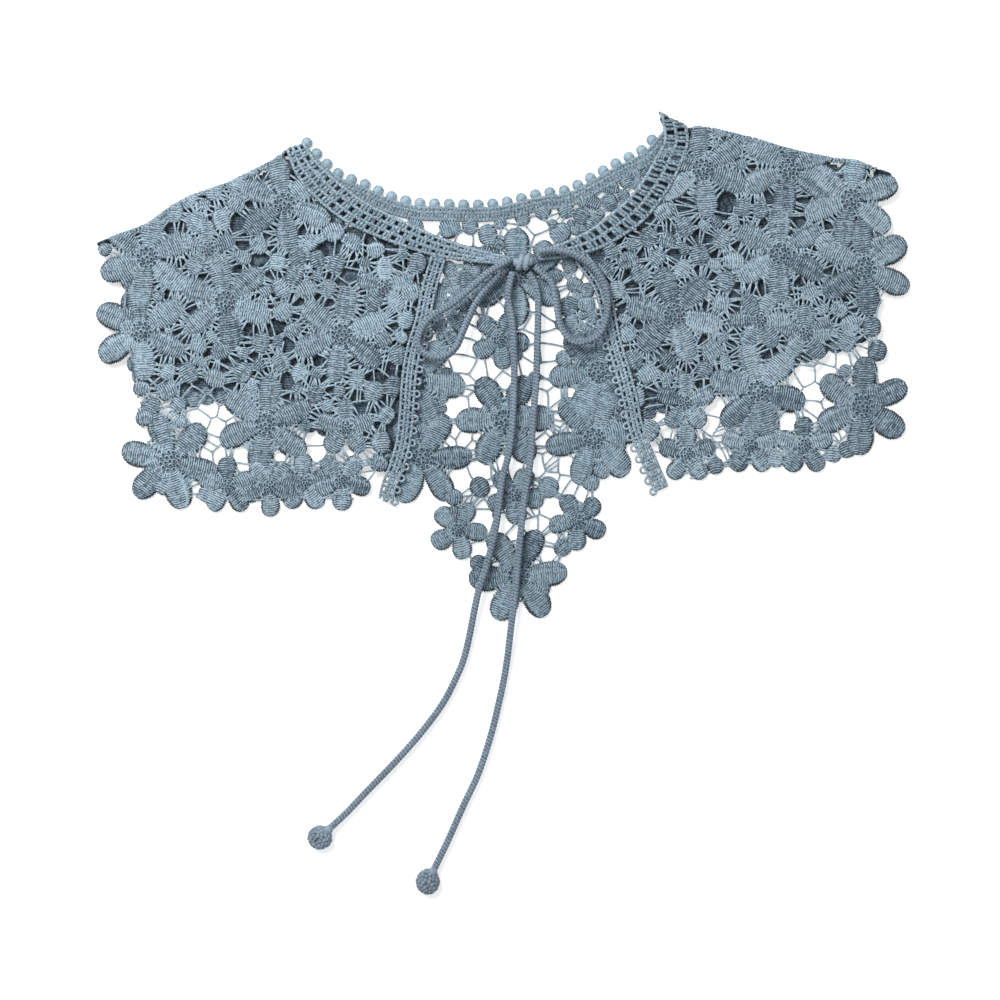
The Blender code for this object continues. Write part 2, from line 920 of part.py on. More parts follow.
def lace_wall(name, made_of, clip, solids, lie, gaps=(), ovals=(), discs=(), ridges=()):
    """A wall of lace over its plain underside, with its petals, discs and ridges raised on top."""
    relief = [oval(*shape, PETAL_SIDES) for shape in ovals]
    spots = [(x, y) for x, y, _ in discs]
    for x, y, turn, half_length, _ in ovals:
        for step in (-SPINE * half_length, SPINE * half_length):
            spots.append((x + step * math.cos(turn), y + step * math.sin(turn)))
    clip = lie.with_bend_corners(clip)
    solids = [lie.with_bend_corners(solids[0])] + solids[1:]
    rows = lie.rows_inside(clip, solids[0])
    flat, top = joined_shapes(clip, solids, list(gaps), relief, spots, rows + list(ridges))
    border = border_of(top)
    edge_corners = sorted({corner for side in border for corner in side})
    edge_place = {corner: i for i, corner in enumerate(edge_corners)}
    sides = [(edge_place[a], edge_place[b]) for a, b in border]
    low, bottom = plain_side([flat[c] for c in edge_corners], sides, rows)
    used = sorted({corner for corners in top for corner in corners})
    top_place = {corner: i for i, corner in enumerate(used)}
    points = [(*flat[c], lie.top(*flat[c], relief_at(*flat[c], ovals, discs, ridges))) for c in used]
    first_low = len(points)
    points += [(x, y, lie.underside(x, y)) for x, y in low]
    faces = [tuple(top_place[c] for c in corners) for corners in top]
    faces += [tuple(first_low + c for c in reversed(corners)) for corners in bottom]
    for (a, b), (low_a, low_b) in zip(border, sides):
        faces.append((top_place[b], top_place[a], first_low + low_a, first_low + low_b))
    return add_mesh(name, points, faces, made_of)


class FlatLie:
    """A layer that lies on the table."""

    def underside(self, x, y):
        return 0.0

    def top(self, x, y, relief):
        return WALL + relief

    def with_bend_corners(self, polygon):
        return polygon

    def rows_inside(self, clip, shape):
        return []


class FoldedLie:
    """A layer that lies on the back, comes down past its hem and bends round it at the fold."""

    def __init__(self, fold, back_area, row_pitch):
        self.fold = fold
        self.row_pitch = row_pitch
        self.back_area = back_area + back_area[:1]
        middle = np.mean(back_area, axis=0)
        self.inward = 1
        if self.from_fold(middle) < 0:
            self.inward = -1

    def from_fold(self, point):
        """The distance from the fold, less than 0 outside it."""
        within = nearest_on_path(point, offset_path(self.fold, self.inward))[1]
        beyond = nearest_on_path(point, offset_path(self.fold, -self.inward))[1]
        return math.copysign(nearest_on_path(point, self.fold)[1], beyond - within)

    def lift(self, x, y):
        if inside((x, y), self.back_area[:-1]):
            return LIFT
        beyond = nearest_on_path((x, y), self.back_area)[1]
        return LIFT * (1 - min(1.0, max(0.0, (beyond - HEM_STAY) / HEM_SLOPE)))

    def underside(self, x, y):
        from_fold = nearest_on_path((x, y), self.fold)[1]
        return 0.0 if from_fold < FOLD_WALL + ROW_SLACK else self.lift(x, y)

    def top(self, x, y, relief):
        height = self.lift(x, y) + WALL + relief
        share = min(1.0, nearest_on_path((x, y), self.fold)[1] / FOLD_ROUND)
        return FOLD_FOOT + (height - FOLD_FOOT) * math.sqrt(1 - (1 - share) ** 2)

    def with_bend_corners(self, polygon):
        """The polygon with a corner wherever its sides cross the rows that shape the bend."""
        corners = []
        for a, b in zip(polygon, polygon[1:] + polygon[:1]):
            corners.append(a)
            from_a = self.from_fold(a)
            from_b = self.from_fold(b)
            shares = []
            for away in (FOLD_WALL, FOLD_INNER):
                if (from_a < away - ROW_SLACK) != (from_b < away - ROW_SLACK):
                    shares.append(self.share_at(a, b, away, from_a < from_b))
            for share in sorted(shares):
                spot = (a[0] + share * (b[0] - a[0]), a[1] + share * (b[1] - a[1]))
                if min(math.dist(spot, corners[-1]), math.dist(spot, b)) > ROW_MARGIN / 2:
                    corners.append(spot)
        return corners

    def share_at(self, a, b, away, rising):
        """How far along a side its distance from the fold reaches away."""
        low, high = 0.0, 1.0
        for _ in range(BISECTIONS):
            middle = (low + high) / 2
            point = (a[0] + middle * (b[0] - a[0]), a[1] + middle * (b[1] - a[1]))
            if (self.from_fold(point) < away) == rising:
                low = middle
            else:
                high = middle
        return low

    def rows_inside(self, clip, shape):
        """Rows of points that shape the bend, kept off the edges of the clip and of the shape."""
        rows = []
        for away in (FOLD_WALL, FOLD_INNER):
            row = []
            for point in points_along(offset_path(self.fold, self.inward * away), ROW_MARGIN):
                within = inside(point, clip) and inside(point, shape)
                edges = (clip + clip[:1], shape + shape[:1])
                if within and min(nearest_on_path(point, edge)[1] for edge in edges) > ROW_MARGIN:
                    row.append(point)
            if len(row) > 1:
                rows.append(points_along(row, self.row_pitch))
        return rows


def band_outline(path, halves):
    left = offset_path(path, halves)
    right = offset_path(path, [-h for h in halves])
    return left + right[::-1]


def crossing(a, b, c, d):
    """Where the line a b crosses the side c d, or None."""
    across = (b[0] - a[0]) * (d[1] - c[1]) - (b[1] - a[1]) * (d[0] - c[0])
    share = ((c[0] - a[0]) * (b[1] - a[1]) - (c[1] - a[1]) * (b[0] - a[0])) / across
    if not 0 <= share <= 1:
        return None
    return (c[0] + share * (d[0] - c[0]), c[1] + share * (d[1] - c[1]))


def met_at_fold(fold, seam):
    """The fold and the neck seam, both from the point where they meet."""
    for i, (c, d) in enumerate(zip(fold, fold[1:])):
        spot = crossing(seam[0], seam[1], c, d)
        if spot:
            return [spot] + list(fold[i + 1 :]), [spot] + seam[1:]
    raise ValueError("the neck seam misses the fold")


def halves_of(band):
    return [half for _, _, half in band]


def centre_of(band):
    return [(x, y) for x, y, _ in band]


def picots_along(path, radius, pitch):
    """Round picots as discs along a path."""
    return [(x, y, radius) for x, y in points_along(path, pitch)]


def round_shapes(discs):
    return [oval(x, y, 0.0, radius, radius, PICOT_SIDES) for x, y, radius in discs]


def standing_out(ovals, base):
    """The petals that reach past a panel's net, as shapes to join to it."""
    shapes = [oval(*shape, STANDING_SIDES) for shape in ovals]
    return [shape for shape in shapes if not all(inside(corner, base) for corner in shape)]


def front_panel(name, made_of, flowers, leaves, gaps, fold, hem, inner_edge, neck_seam, lie, sign):
    """A front: bounded by the fold, the hem, its edging and its neckband."""
    base = list(fold) + list(hem) + inner_edge[::-1] + neck_seam[::-1]
    beyond = fold[-1][0] + sign * HEM_REACH
    below = hem[-1][1] - HEM_REACH
    clip = list(fold) + [(beyond, fold[-1][1]), (beyond, below), (inner_edge[-1][0], below)]
    clip += inner_edge[::-1] + neck_seam[::-1]
    ovals = petals_of(flowers, leaves)
    discs = buds_of(flowers)
    fences = [(list(fold), FOLD_MARGIN)]
    fences += [(path, EDGE_MARGIN) for path in (list(hem), inner_edge, neck_seam)]
    blocks = ovals + [(x, y, 0.0, r, r) for x, y, r in discs]
    cuts = cut_gaps(name, gaps, blocks, fences, base)
    shapes = [base] + standing_out(ovals, base)
    return lace_wall(name, made_of, clip, shapes, lie, cuts, ovals, discs)


def back_panel(made_of, left_fold, right_fold):
    """The back: bounded by the folds, the hem and the neckband above it."""
    neck_seam = offset_path(NECK_ARC, -(BACK_BAND_BOTTOM + SEAM))[1:-1]
    base = neck_seam + right_fold + list(BACK_HEM) + left_fold[::-1]
    right, left = right_fold[-1], left_fold[-1]
    low = min(y for _, y in BACK_HEM) - HEM_REACH
    clip = neck_seam + right_fold + [(right[0], low), (left[0], low)] + left_fold[::-1]
    ovals = petals_of(BACK_FLOWERS + HIDDEN_BACK_FLOWERS, BACK_LEAVES)
    discs = buds_of(BACK_FLOWERS + HIDDEN_BACK_FLOWERS)
    edges = [(path, EDGE_MARGIN) for path in (neck_seam, right_fold, list(BACK_HEM), left_fold)]
    blocks = ovals + [(x, y, 0.0, r, r) for x, y, r in discs]
    cuts = cut_gaps("back", BACK_GAPS, blocks, edges, base)
    seen = petals_of(BACK_FLOWERS, BACK_LEAVES)
    shapes = [base] + standing_out(seen, base)
    return lace_wall("back", made_of, clip, shapes, FlatLie(), cuts, seen, buds_of(BACK_FLOWERS))


def back_neckband(made_of, clip):
    """The solid band along the back's neck, with a row of round picots on its edge."""
    top = offset_path(NECK_ARC, -BACK_BAND_TOP)
    bottom = offset_path(NECK_ARC, -BACK_BAND_BOTTOM)
    picots = picots_along(NECK_ARC, PICOT, PICOT_PITCH)
    picots = [p for p in picots if nearest_on_path(p[:2], clip + clip[:1])[1] > PICOT]
    ridge = offset_path(NECK_ARC, -(BACK_BAND_TOP + BACK_BAND_BOTTOM) / 2)[1:-1]
    shapes = [top + bottom[::-1]] + round_shapes(picots)
    return lace_wall("back_neckband", made_of, clip, shapes, FlatLie(), discs=picots, ridges=[ridge])


def front_neckband(name, made_of, band, fold, lie):
    """A front stretch of the neckband, tapering from the shoulder fold to the knot."""
    path, halves = centre_of(band), halves_of(band)
    low = path[-1][1] - BELOW_KNOT
    clip = list(fold[:3]) + [(fold[2][0], low), (path[-1][0], low), (path[-1][0], fold[0][1])]
    shares = (-RIDGE_SHARE, 0.0, RIDGE_SHARE)
    ridges = [offset_path(path, [share * h for h in halves])[1:-1] for share in shares]
    return lace_wall(name, made_of, clip, [band_outline(path, halves)], lie, ridges=ridges)


def front_edging(name, made_of, path, free_side, lie):
    """The edging down a front opening, with small picots on its free side."""
    halves = [EDGING_HALF] * len(path)
    picot_line = offset_path(path, free_side * (EDGING_HALF + PICOT_OUT))[PICOTS_FROM:]
    picots = picots_along(picot_line, SMALL_PICOT, SMALL_PICOT_PITCH)
    ridges = [offset_path(path, share * EDGING_HALF)[1:-1] for share in (-RIDGE_SHARE, RIDGE_SHARE)]
    around = band_outline(path, [EDGING_HALF + EDGING_ROOM] * len(path))
    shapes = [band_outline(path, halves)] + round_shapes(picots)
    return lace_wall(name, made_of, around, shapes, lie, discs=picots, ridges=ridges)


def smooth_route(points, pitch):
    """Points at about pitch apart on a smooth curve through the route's own points."""
    rows = [Vector(p) for p in points]
    rows = [2 * rows[0] - rows[1]] + rows + [2 * rows[-1] - rows[-2]]
    route = []
    for before, a, b, after in zip(rows, rows[1:], rows[2:], rows[3:]):
        steps = max(1, round((b - a).length / pitch))
        for i in range(steps):
            t = i / steps
            route.append(
                0.5
                * (
                    2 * a
                    + (b - before) * t
                    + (2 * before - 5 * a + 4 * b - after) * t**2
                    + (3 * a - before - 3 * b + after) * t**3
                )
            )
    return route + [rows[-2]]


def cord(name, made_of, points):
    curve = bpy.data.curves.new(name, "CURVE")
    curve.dimensions = "3D"
    curve.bevel_depth = CORD / 2 * MM
    curve.bevel_resolution = 2
    curve.use_fill_caps = True
    route = smooth_route(points, CORD_PITCH)
    spline = curve.splines.new("POLY")
    spline.points.add(len(route) - 1)
    for spot, place in zip(spline.points, route):
        spot.co = (*(place * MM), 1.0)
    curve.materials.append(made_of)
    obj = bpy.data.objects.new(name, curve)
    bpy.context.scene.collection.objects.link(obj)
    return obj


def knot(made_of):
    """The bow's knot, a flattened lump with a dip across its middle."""
    points = [(-1.0, 0.0, 0.0)]
    for i in range(1, KNOT_RINGS):
        along = -math.cos(math.pi * i / KNOT_RINGS)
        around = math.sin(math.pi * i / KNOT_RINGS) * (1 - KNOT_DIP * (1 - abs(along)))
        for j in range(BALL_SIDES):
            step = math.tau * j / BALL_SIDES
            points.append((along, around * math.cos(step), around * math.sin(step)))
    points.append((1.0, 0.0, 0.0))
    points = [tuple(c + s * p for c, s, p in zip(KNOT_CENTRE, KNOT_SIZE, point)) for point in points]
    return add_mesh("knot", points, ball_faces(KNOT_RINGS, BALL_SIDES), made_of)


def ball_faces(rings, sides):
    """Faces of a ball whose points run ring by ring from one pole to the other."""
    last = 1 + (rings - 1) * sides
    faces = []
    for j in range(sides):
        after = (j + 1) % sides
        faces.append((0, 1 + after, 1 + j))
        faces.append((last, last - sides + j, last - sides + after))
        for i in range(rings - 2):
            low = 1 + i * sides
            high = low + sides
            faces.append((low + j, low + after, high + after, high + j))
    return faces


def bobble(name, made_of, tail):
    """A round end bobble lying flat, with a short neck where the cord goes in."""
    end, before = Vector(tail[-1]), Vector(tail[-2])
    turn = math.atan2(end.y - before.y, end.x - before.x)
    start = (end.x + SEAM * math.cos(turn), end.y + SEAM * math.sin(turn))
    profile = list(BOBBLE_NECK)
    for i in range(2, BOBBLE_RINGS):
        angle = math.pi * (i + BOBBLE_SHIFT) / (BOBBLE_RINGS + BOBBLE_SHIFT)
        along = BOBBLE_START + BOBBLE * (1 - math.cos(angle))
        profile.append((along, BOBBLE * math.sin(angle), BOBBLE_HEIGHT * math.sin(angle) ** BOBBLE_ROUND))
    points = [(0.0, 0.0, 0.0)]
    for along, wide, high in profile:
        for j in range(BALL_SIDES):
            step = math.tau * j / BALL_SIDES
            points.append((along, wide * math.cos(step), high * math.sin(step)))
    points.append((BOBBLE_START + 2 * BOBBLE, 0.0, 0.0))
    middle = max(high for _, _, high in profile) + BOBBLE_CLEAR
    placed = []
    for along, across, height in points:
        x = start[0] + along * math.cos(turn) - across * math.sin(turn)
        y = start[1] + along * math.sin(turn) + across * math.cos(turn)
        placed.append((x, y, middle + height))
    return add_mesh(name, placed, ball_faces(len(profile) + 1, BALL_SIDES), made_of)


def main():
    for obj in list(bpy.data.objects):
        bpy.data.objects.remove(obj)
    lace = material("lace_cotton", BLUE)
    shaded = material("lace_cotton_inside", DEEP_BLUE)
    knit = material("cord_knit", CORD_BLUE)
    left_inside = offset_path(LEFT_FOLD, FOLD_INSET)
    right_inside = offset_path(RIGHT_FOLD, -FOLD_INSET)
    back_area = list(NECK_ARC) + right_inside[1:] + list(BACK_HEM) + left_inside[:0:-1]
    back_panel(shaded, left_inside[1:], right_inside[1:])
    band_clip = left_inside[:3] + [BELOW_NECK] + right_inside[:3][::-1] + [ABOVE_NECK]
    back_neckband(shaded, band_clip)
    left_lie = FoldedLie(LEFT_FOLD, back_area, PANEL_ROW_PITCH)
    right_lie = FoldedLie(RIGHT_FOLD, back_area, PANEL_ROW_PITCH)
    left_band_lie = FoldedLie(LEFT_FOLD, back_area, BAND_ROW_PITCH)
    right_band_lie = FoldedLie(RIGHT_FOLD, back_area, BAND_ROW_PITCH)
    front_neckband("neckband_left", lace, LEFT_NECKBAND, LEFT_FOLD, left_band_lie)
    front_neckband("neckband_right", lace, RIGHT_NECKBAND, RIGHT_FOLD, right_band_lie)
    front_edging("edging_left", lace, LEFT_EDGING, 1, left_lie)
    front_edging("edging_right", lace, RIGHT_EDGING, -1, right_lie)
    left_seam = offset_path(centre_of(LEFT_NECKBAND), [-(h + SEAM) for h in halves_of(LEFT_NECKBAND)])
    right_seam = offset_path(centre_of(RIGHT_NECKBAND), [h + SEAM for h in halves_of(RIGHT_NECKBAND)])
    left_inner = offset_path(LEFT_EDGING, -(EDGING_HALF + SEAM))
    right_inner = offset_path(RIGHT_EDGING, EDGING_HALF + SEAM)
    left_fold, left_seam = met_at_fold(LEFT_FOLD, left_seam)
    right_fold, right_seam = met_at_fold(RIGHT_FOLD, right_seam)
    left_neck = [p for p in left_seam[1:] if p[0] < left_inner[0][0]]
    right_neck = [p for p in right_seam[1:] if p[0] > right_inner[0][0]]
    front_panel(
        "front_left", lace, LEFT_FLOWERS, LEFT_LEAVES, LEFT_GAPS, left_fold, LEFT_HEM,
        left_inner, left_neck, left_lie, -1,
    )
    front_panel(
        "front_right", lace, RIGHT_FLOWERS, RIGHT_LEAVES, RIGHT_GAPS, right_fold, RIGHT_HEM,
        right_inner, right_neck, right_lie, 1,
    )
    knot(knit)
    cord("loop_left", knit, LEFT_LOOP)
    cord("loop_right", knit, RIGHT_LOOP)
    cord("tail_left", knit, LEFT_TAIL)
    cord("tail_right", knit, RIGHT_TAIL)
    bobble("bobble_left", knit, LEFT_TAIL)
    bobble("bobble_right", knit, RIGHT_TAIL)


main()
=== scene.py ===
"""The looks of a crocheted lace collar: ribbed petals, thread net, neckband, edgings and tie.

Tables and functions work in millimetres, in the CAD model's frame, and add_mesh scales to metres.
"""

import math
import random

import bpy
import numpy as np
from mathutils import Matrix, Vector
from mathutils.geometry import delaunay_2d_cdt

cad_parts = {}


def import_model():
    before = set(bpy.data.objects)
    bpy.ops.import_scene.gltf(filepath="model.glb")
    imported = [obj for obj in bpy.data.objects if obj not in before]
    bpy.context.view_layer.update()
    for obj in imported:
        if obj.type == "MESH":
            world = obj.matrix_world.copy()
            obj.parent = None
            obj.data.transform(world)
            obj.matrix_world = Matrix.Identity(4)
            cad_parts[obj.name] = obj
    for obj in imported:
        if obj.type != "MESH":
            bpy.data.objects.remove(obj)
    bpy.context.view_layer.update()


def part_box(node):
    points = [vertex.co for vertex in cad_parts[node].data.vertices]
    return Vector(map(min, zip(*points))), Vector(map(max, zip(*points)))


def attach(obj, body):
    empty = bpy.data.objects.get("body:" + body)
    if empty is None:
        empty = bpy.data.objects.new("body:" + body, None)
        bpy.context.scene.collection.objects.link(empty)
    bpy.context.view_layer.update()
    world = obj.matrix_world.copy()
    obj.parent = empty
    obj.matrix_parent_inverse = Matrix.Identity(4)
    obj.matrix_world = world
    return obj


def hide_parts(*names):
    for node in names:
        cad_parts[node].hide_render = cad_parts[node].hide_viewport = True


MM = 0.001

# The layers, as the solids have them
SEAM = 0.3
LIFT = 2.6
CORD = 3.7
HEM_STAY = 11.0
HEM_SLOPE = 12.0
FOLD_MARGIN = 3.6
EDGE_MARGIN = 1.5
FOLD_INSET = 3.4

# Flower kinds: petals, reach to a petal's middle, half length, half width, bud radius
FLOWER_KINDS = {
    "big": (6, 16.0, 8.6, 5.6, 5.2),
    "small": (5, 9.6, 5.2, 4.3, 3.2),
    "daisy": (6, 10.4, 5.0, 4.2, 3.2),
}
LEAF = (5.4, 4.4)

# Flowers: kind, x, y, turn in degrees
LEFT_FLOWERS = (
    ("big", -139.0, 32.5, 39), ("big", -109.5, 81.5, 37), ("big", -181.0, 17.5, 33),
    ("big", -178.0, 54.5, 21), ("big", -167.0, -47.0, 46), ("big", -119.0, -28.5, 23),
    ("big", -81.0, 16.0, 21), ("small", -148.0, 58.5, 20), ("small", -138.0, -59.5, 18),
    ("small", -117.0, -60.0, 54), ("small", -100.0, -58.0, 18), ("small", -81.0, -57.0, 54),
    ("small", -79.0, -30.5, 18), ("small", -59.5, 40.0, 18),
)
RIGHT_FLOWERS = (
    ("big", 99.0, 98.5, 36), ("big", 137.5, 56.5, 31), ("big", 180.0, 49.5, 34),
    ("big", 85.0, 26.0, 47), ("big", 126.5, -12.0, 45), ("big", 179.0, -19.5, 26),
    ("big", 142.0, 98.5, 25), ("big", 173.0, 83.5, 20), ("daisy", 127.5, 23.0, 0),
    ("small", 150.5, 16.5, 18), ("small", 123.0, -39.5, 18), ("small", 150.0, -39.5, 18),
    ("small", 91.5, -43.5, 18), ("small", 90.5, -18.0, 18),
)
BACK_FLOWERS = (
    ("big", 0.5, -26.5, 2), ("big", -40.5, -45.5, 2), ("big", 45.0, -35.5, 11),
    ("big", 7.0, -104.0, 4), ("big", 6.0, 45.0, 30), ("big", 47.0, -2.5, 8),
    ("big", -44.0, -8.0, -5), ("small", -23.0, -81.5, -8), ("small", 37.0, -77.0, -24),
    ("small", 5.5, -64.0, 60), ("small", -2.0, 13.5, 135),
)
HIDDEN_BACK_FLOWERS = (
    ("big", -88.0, 4.0, 10), ("big", -130.0, 14.0, 25), ("big", -168.0, 26.0, 40),
    ("big", -66.0, 48.0, 20), ("big", -112.0, 56.0, 5), ("big", -156.0, 66.0, 30),
    ("big", 86.0, 8.0, 15), ("big", 128.0, 28.0, 30), ("big", 168.0, 34.0, 0),
    ("big", 72.0, 56.0, 25), ("big", 116.0, 74.0, 10), ("big", 160.0, 78.0, 35),
)

# Single leaves between the flowers: x, y, turn in degrees
LEFT_LEAVES = (
    (-85.0, 67.0, 20), (-83.5, 51.0, 70), (-102.5, 54.5, 110), (-104.0, 46.0, 60),
    (-98.0, 38.5, 20), (-111.0, 39.0, 120), (-43.5, 51.5, 80), (-46.0, 37.0, 20),
    (-65.0, -12.5, 60), (-61.0, -37.5, 90), (-164.5, 77.0, 80), (-153.5, 72.0, 70),
    (-141.0, 73.0, 110), (-157.0, 84.0, 50), (-144.5, 88.0, 80), (-134.0, 92.0, 60),
    (-110.0, 27.5, 30), (-121.0, 12.0, 80), (-111.0, 2.0, 120), (-141.0, 7.5, 20),
    (-144.0, -6.0, 160), (-130.5, -3.0, 60), (-157.0, -3.0, 120), (-176.0, -20.0, 60),
    (-168.0, -12.0, 20), (-76.0, 62.0, 150), (-53.0, 6.0, 100), (-55.0, -10.0, 80),
)
RIGHT_LEAVES = (
    (73.0, -32.0, 60), (66.0, -15.0, 100), (71.5, -3.5, 30), (64.5, 3.5, 120), (158.5, 17.0, 0),
    (171.5, 12.5, 60), (173.0, 21.5, 20), (183.0, 20.0, 90), (186.0, 8.0, 70), (80.0, 77.5, 30),
    (90.0, 69.5, 120), (72.0, 64.5, 60), (62.0, 52.5, 20), (98.0, 56.0, 100), (109.0, 63.5, 60),
    (114.5, 52.5, 0), (68.0, 46.0, 120), (110.5, 42.5, 70), (104.0, 8.0, 30), (160.0, 62.0, 40),
)
BACK_LEAVES = (
    (-19.0, 42.5, 90), (-27.0, 69.0, 20), (28.0, 67.0, 40), (20.0, 58.0, 120), (-8.0, 66.0, 100),
    (33.0, 30.0, 70), (22.0, -60.0, 60), (-12.0, -60.0, 120),
)

# Neckbands: x, y, half width of the centreline's points, shoulder fold to knot
LEFT_NECKBAND = (
    (-105.7, 113.3, 4.4), (-99.5, 100.5, 6.0), (-92.5, 92.0, 6.8), (-83.5, 84.0, 7.0),
    (-73.0, 76.5, 6.8), (-59.5, 70.0, 6.4), (-46.0, 64.5, 5.8), (-32.0, 59.5, 4.8),
    (-14.5, 55.5, 3.4), (2.6, 52.6, 2.2),
)
RIGHT_NECKBAND = (
    (83.0, 130.0, 5.4), (86.0, 113.5, 6.2), (82.5, 103.5, 6.6), (78.0, 94.5, 6.8),
    (72.0, 85.5, 6.8), (65.0, 77.5, 6.8), (55.5, 70.0, 6.4), (45.0, 63.5, 5.4), (33.0, 59.0, 4.2),
    (17.2, 55.0, 2.2),
)

# Front edgings: x, y of the centreline's points, neckband to hem
LEFT_EDGING = (
    (-32.8, 54.3), (-37.5, 38.5), (-40.5, 23.5), (-45.0, 8.5), (-47.5, -6.5), (-48.5, -21.5),
    (-50.0, -36.5), (-53.0, -48.0), (-57.5, -60.0), (-59.0, -66.5),
)
RIGHT_EDGING = (
    (38.4, 54.4), (48.0, 41.0), (51.5, 28.5), (54.5, 13.5), (59.0, -1.5), (63.0, -16.5),
    (65.5, -29.0), (69.0, -39.0), (74.0, -50.5), (78.5, -60.5),
)
EDGING_HALF = 3.8
SMALL_PICOT = 2.1
SMALL_PICOT_PITCH = 6.0
PICOTS_FROM = 2

# The back's neck arc: x, y of the picots' line, left shoulder to right shoulder
NECK_ARC = (
    (-98.5, 112.0), (-91.0, 104.0), (-82.5, 96.5), (-70.0, 91.5), (-57.0, 85.5), (-43.5, 82.0),
    (-29.0, 81.5), (-13.0, 81.0), (1.5, 82.5), (17.5, 86.5), (31.5, 88.5), (45.0, 95.5),
    (56.5, 102.0), (69.0, 108.5), (78.6, 119.0),
)
BACK_BAND_TOP = 1.4
BACK_BAND_BOTTOM = 8.6
PICOT = 2.5
PICOT_PITCH = 7.3

# Shoulder folds: x, y from the neck outwards
LEFT_FOLD = (
    (-98.5, 112.5), (-107.5, 110.2), (-117.0, 103.5), (-138.0, 93.0), (-157.0, 86.5),
    (-167.0, 81.0), (-178.5, 72.5), (-193.0, 67.0), (-198.5, 61.0),
)
RIGHT_FOLD = (
    (79.0, 127.0), (90.5, 121.5), (105.5, 120.0), (128.0, 114.5), (143.0, 109.5), (163.0, 105.5),
    (176.0, 104.0), (185.5, 100.5), (189.0, 95.5),
)

# Hems: x, y of the net's edge between the flowers that stand out of it
LEFT_HEM = (
    (-197.5, 54.0), (-189.0, 44.0), (-189.5, 20.0), (-186.0, 6.0), (-183.0, -7.0), (-182.0, -24.0),
    (-178.0, -38.0), (-177.0, -56.0), (-166.0, -63.5), (-152.0, -65.0), (-128.0, -66.5),
    (-104.0, -65.5), (-84.0, -65.5), (-72.0, -66.0),
)
RIGHT_HEM = (
    (187.0, 84.0), (188.5, 70.0), (189.0, 54.0), (190.0, 38.0), (186.0, 28.0), (185.5, 14.0),
    (184.0, 4.0), (187.0, -10.0), (185.0, -31.0), (176.0, -41.0), (160.0, -46.5), (143.0, -47.5),
    (116.0, -48.5), (104.0, -52.0), (92.0, -56.0),
)
BACK_HEM = (
    (183.0, 84.0), (181.0, 58.0), (181.5, 34.0), (178.0, 14.0), (158.0, 7.5), (145.5, 2.0),
    (105.5, -14.0), (82.0, -20.0), (66.0, -29.0), (53.0, -50.0), (44.5, -60.0), (44.0, -76.0),
    (33.0, -89.0), (27.0, -97.0), (20.0, -112.0), (8.0, -117.0), (-2.0, -116.0), (-10.0, -108.0),
    (-15.0, -98.0), (-21.0, -89.0), (-28.0, -81.0), (-26.0, -68.0), (-32.0, -57.0), (-40.0, -52.0),
    (-54.0, -49.0), (-60.0, -41.5), (-84.5, -33.0), (-97.0, -30.5), (-138.0, -16.5),
    (-159.5, -17.5), (-183.5, -5.5), (-186.0, 16.0), (-187.0, 38.0), (-190.0, 54.0),
)

# Gaps seen white in the photo, where one layer of lace lies: x, y
BACK_GAPS = (
    (-34.0, 70.5), (-25.0, 70.5), (-28.0, 66.0), (-20.0, 63.5), (-12.0, 64.5), (3.0, 66.5),
    (10.5, 66.0), (16.5, 70.5), (19.5, 63.5), (-3.5, 26.0), (-13.5, 22.5), (-16.5, 17.0),
    (-19.0, 8.5), (-20.0, 2.0), (-20.5, -9.0), (-12.0, -2.5), (-6.0, -1.5), (0.0, -7.0),
    (12.0, 38.5), (20.5, 39.5), (29.0, 37.5), (14.0, 34.0), (8.5, 23.5), (13.5, 21.0), (20.5, 22.0),
    (10.5, 14.5), (23.0, 15.0), (21.5, 7.0), (11.0, 0.5), (22.5, -2.0), (25.0, -15.0),
    (32.0, -14.0), (18.0, -15.0), (29.0, -20.0), (27.5, -26.5), (16.5, -32.0), (24.5, -31.5),
    (31.5, -31.5), (20.0, -36.5), (-22.5, -19.0), (-13.5, -18.5), (-25.0, -32.0), (-28.5, -35.5),
    (-20.0, -35.5), (-12.0, -35.5), (-14.5, -40.5), (44.0, -18.0), (-23.0, -54.0), (-11.5, -50.5),
    (-18.5, -61.5), (-2.5, -49.5), (7.0, -47.5), (-7.0, -63.0), (17.0, -50.0), (23.0, -55.5),
    (30.5, -49.0), (29.0, -59.0), (16.0, -61.0), (33.5, -62.0), (38.0, -64.0), (22.5, -70.5),
    (-12.0, -76.5), (-14.5, -92.5), (0.0, -80.0), (4.5, -84.0), (14.0, -78.5), (18.5, -79.0),
    (24.5, -87.0), (28.0, -89.5), (23.5, -93.0),
)
LEFT_GAPS = (
    (-155.0, -15.0), (-147.0, -20.0), (-138.0, -22.0), (-152.0, -27.0), (-143.0, -31.0),
    (-134.0, -30.0), (-150.0, -44.0), (-141.0, -43.0), (-131.0, -44.0), (-147.0, -55.0),
    (-151.0, -60.0), (-94.0, -35.5), (-94.0, -42.5), (-87.0, -50.5), (-69.5, -44.0), (-61.5, -55.5),
    (-64.5, -61.5),
)
RIGHT_GAPS = (
    (150.5, -3.5), (143.0, -7.5), (161.5, 5.0), (169.0, 5.0), (155.5, -13.5), (155.5, -21.5),
    (163.0, -19.0), (142.0, -27.0), (152.0, -26.5), (170.5, -39.0), (138.5, -49.0), (105.5, -21.0),
    (103.5, -28.0), (97.0, -35.5), (80.5, -35.5), (78.0, -51.5), (74.5, -25.0), (64.0, -30.0),
    (176.5, 75.5), (181.0, 71.0), (183.0, 64.5),
)

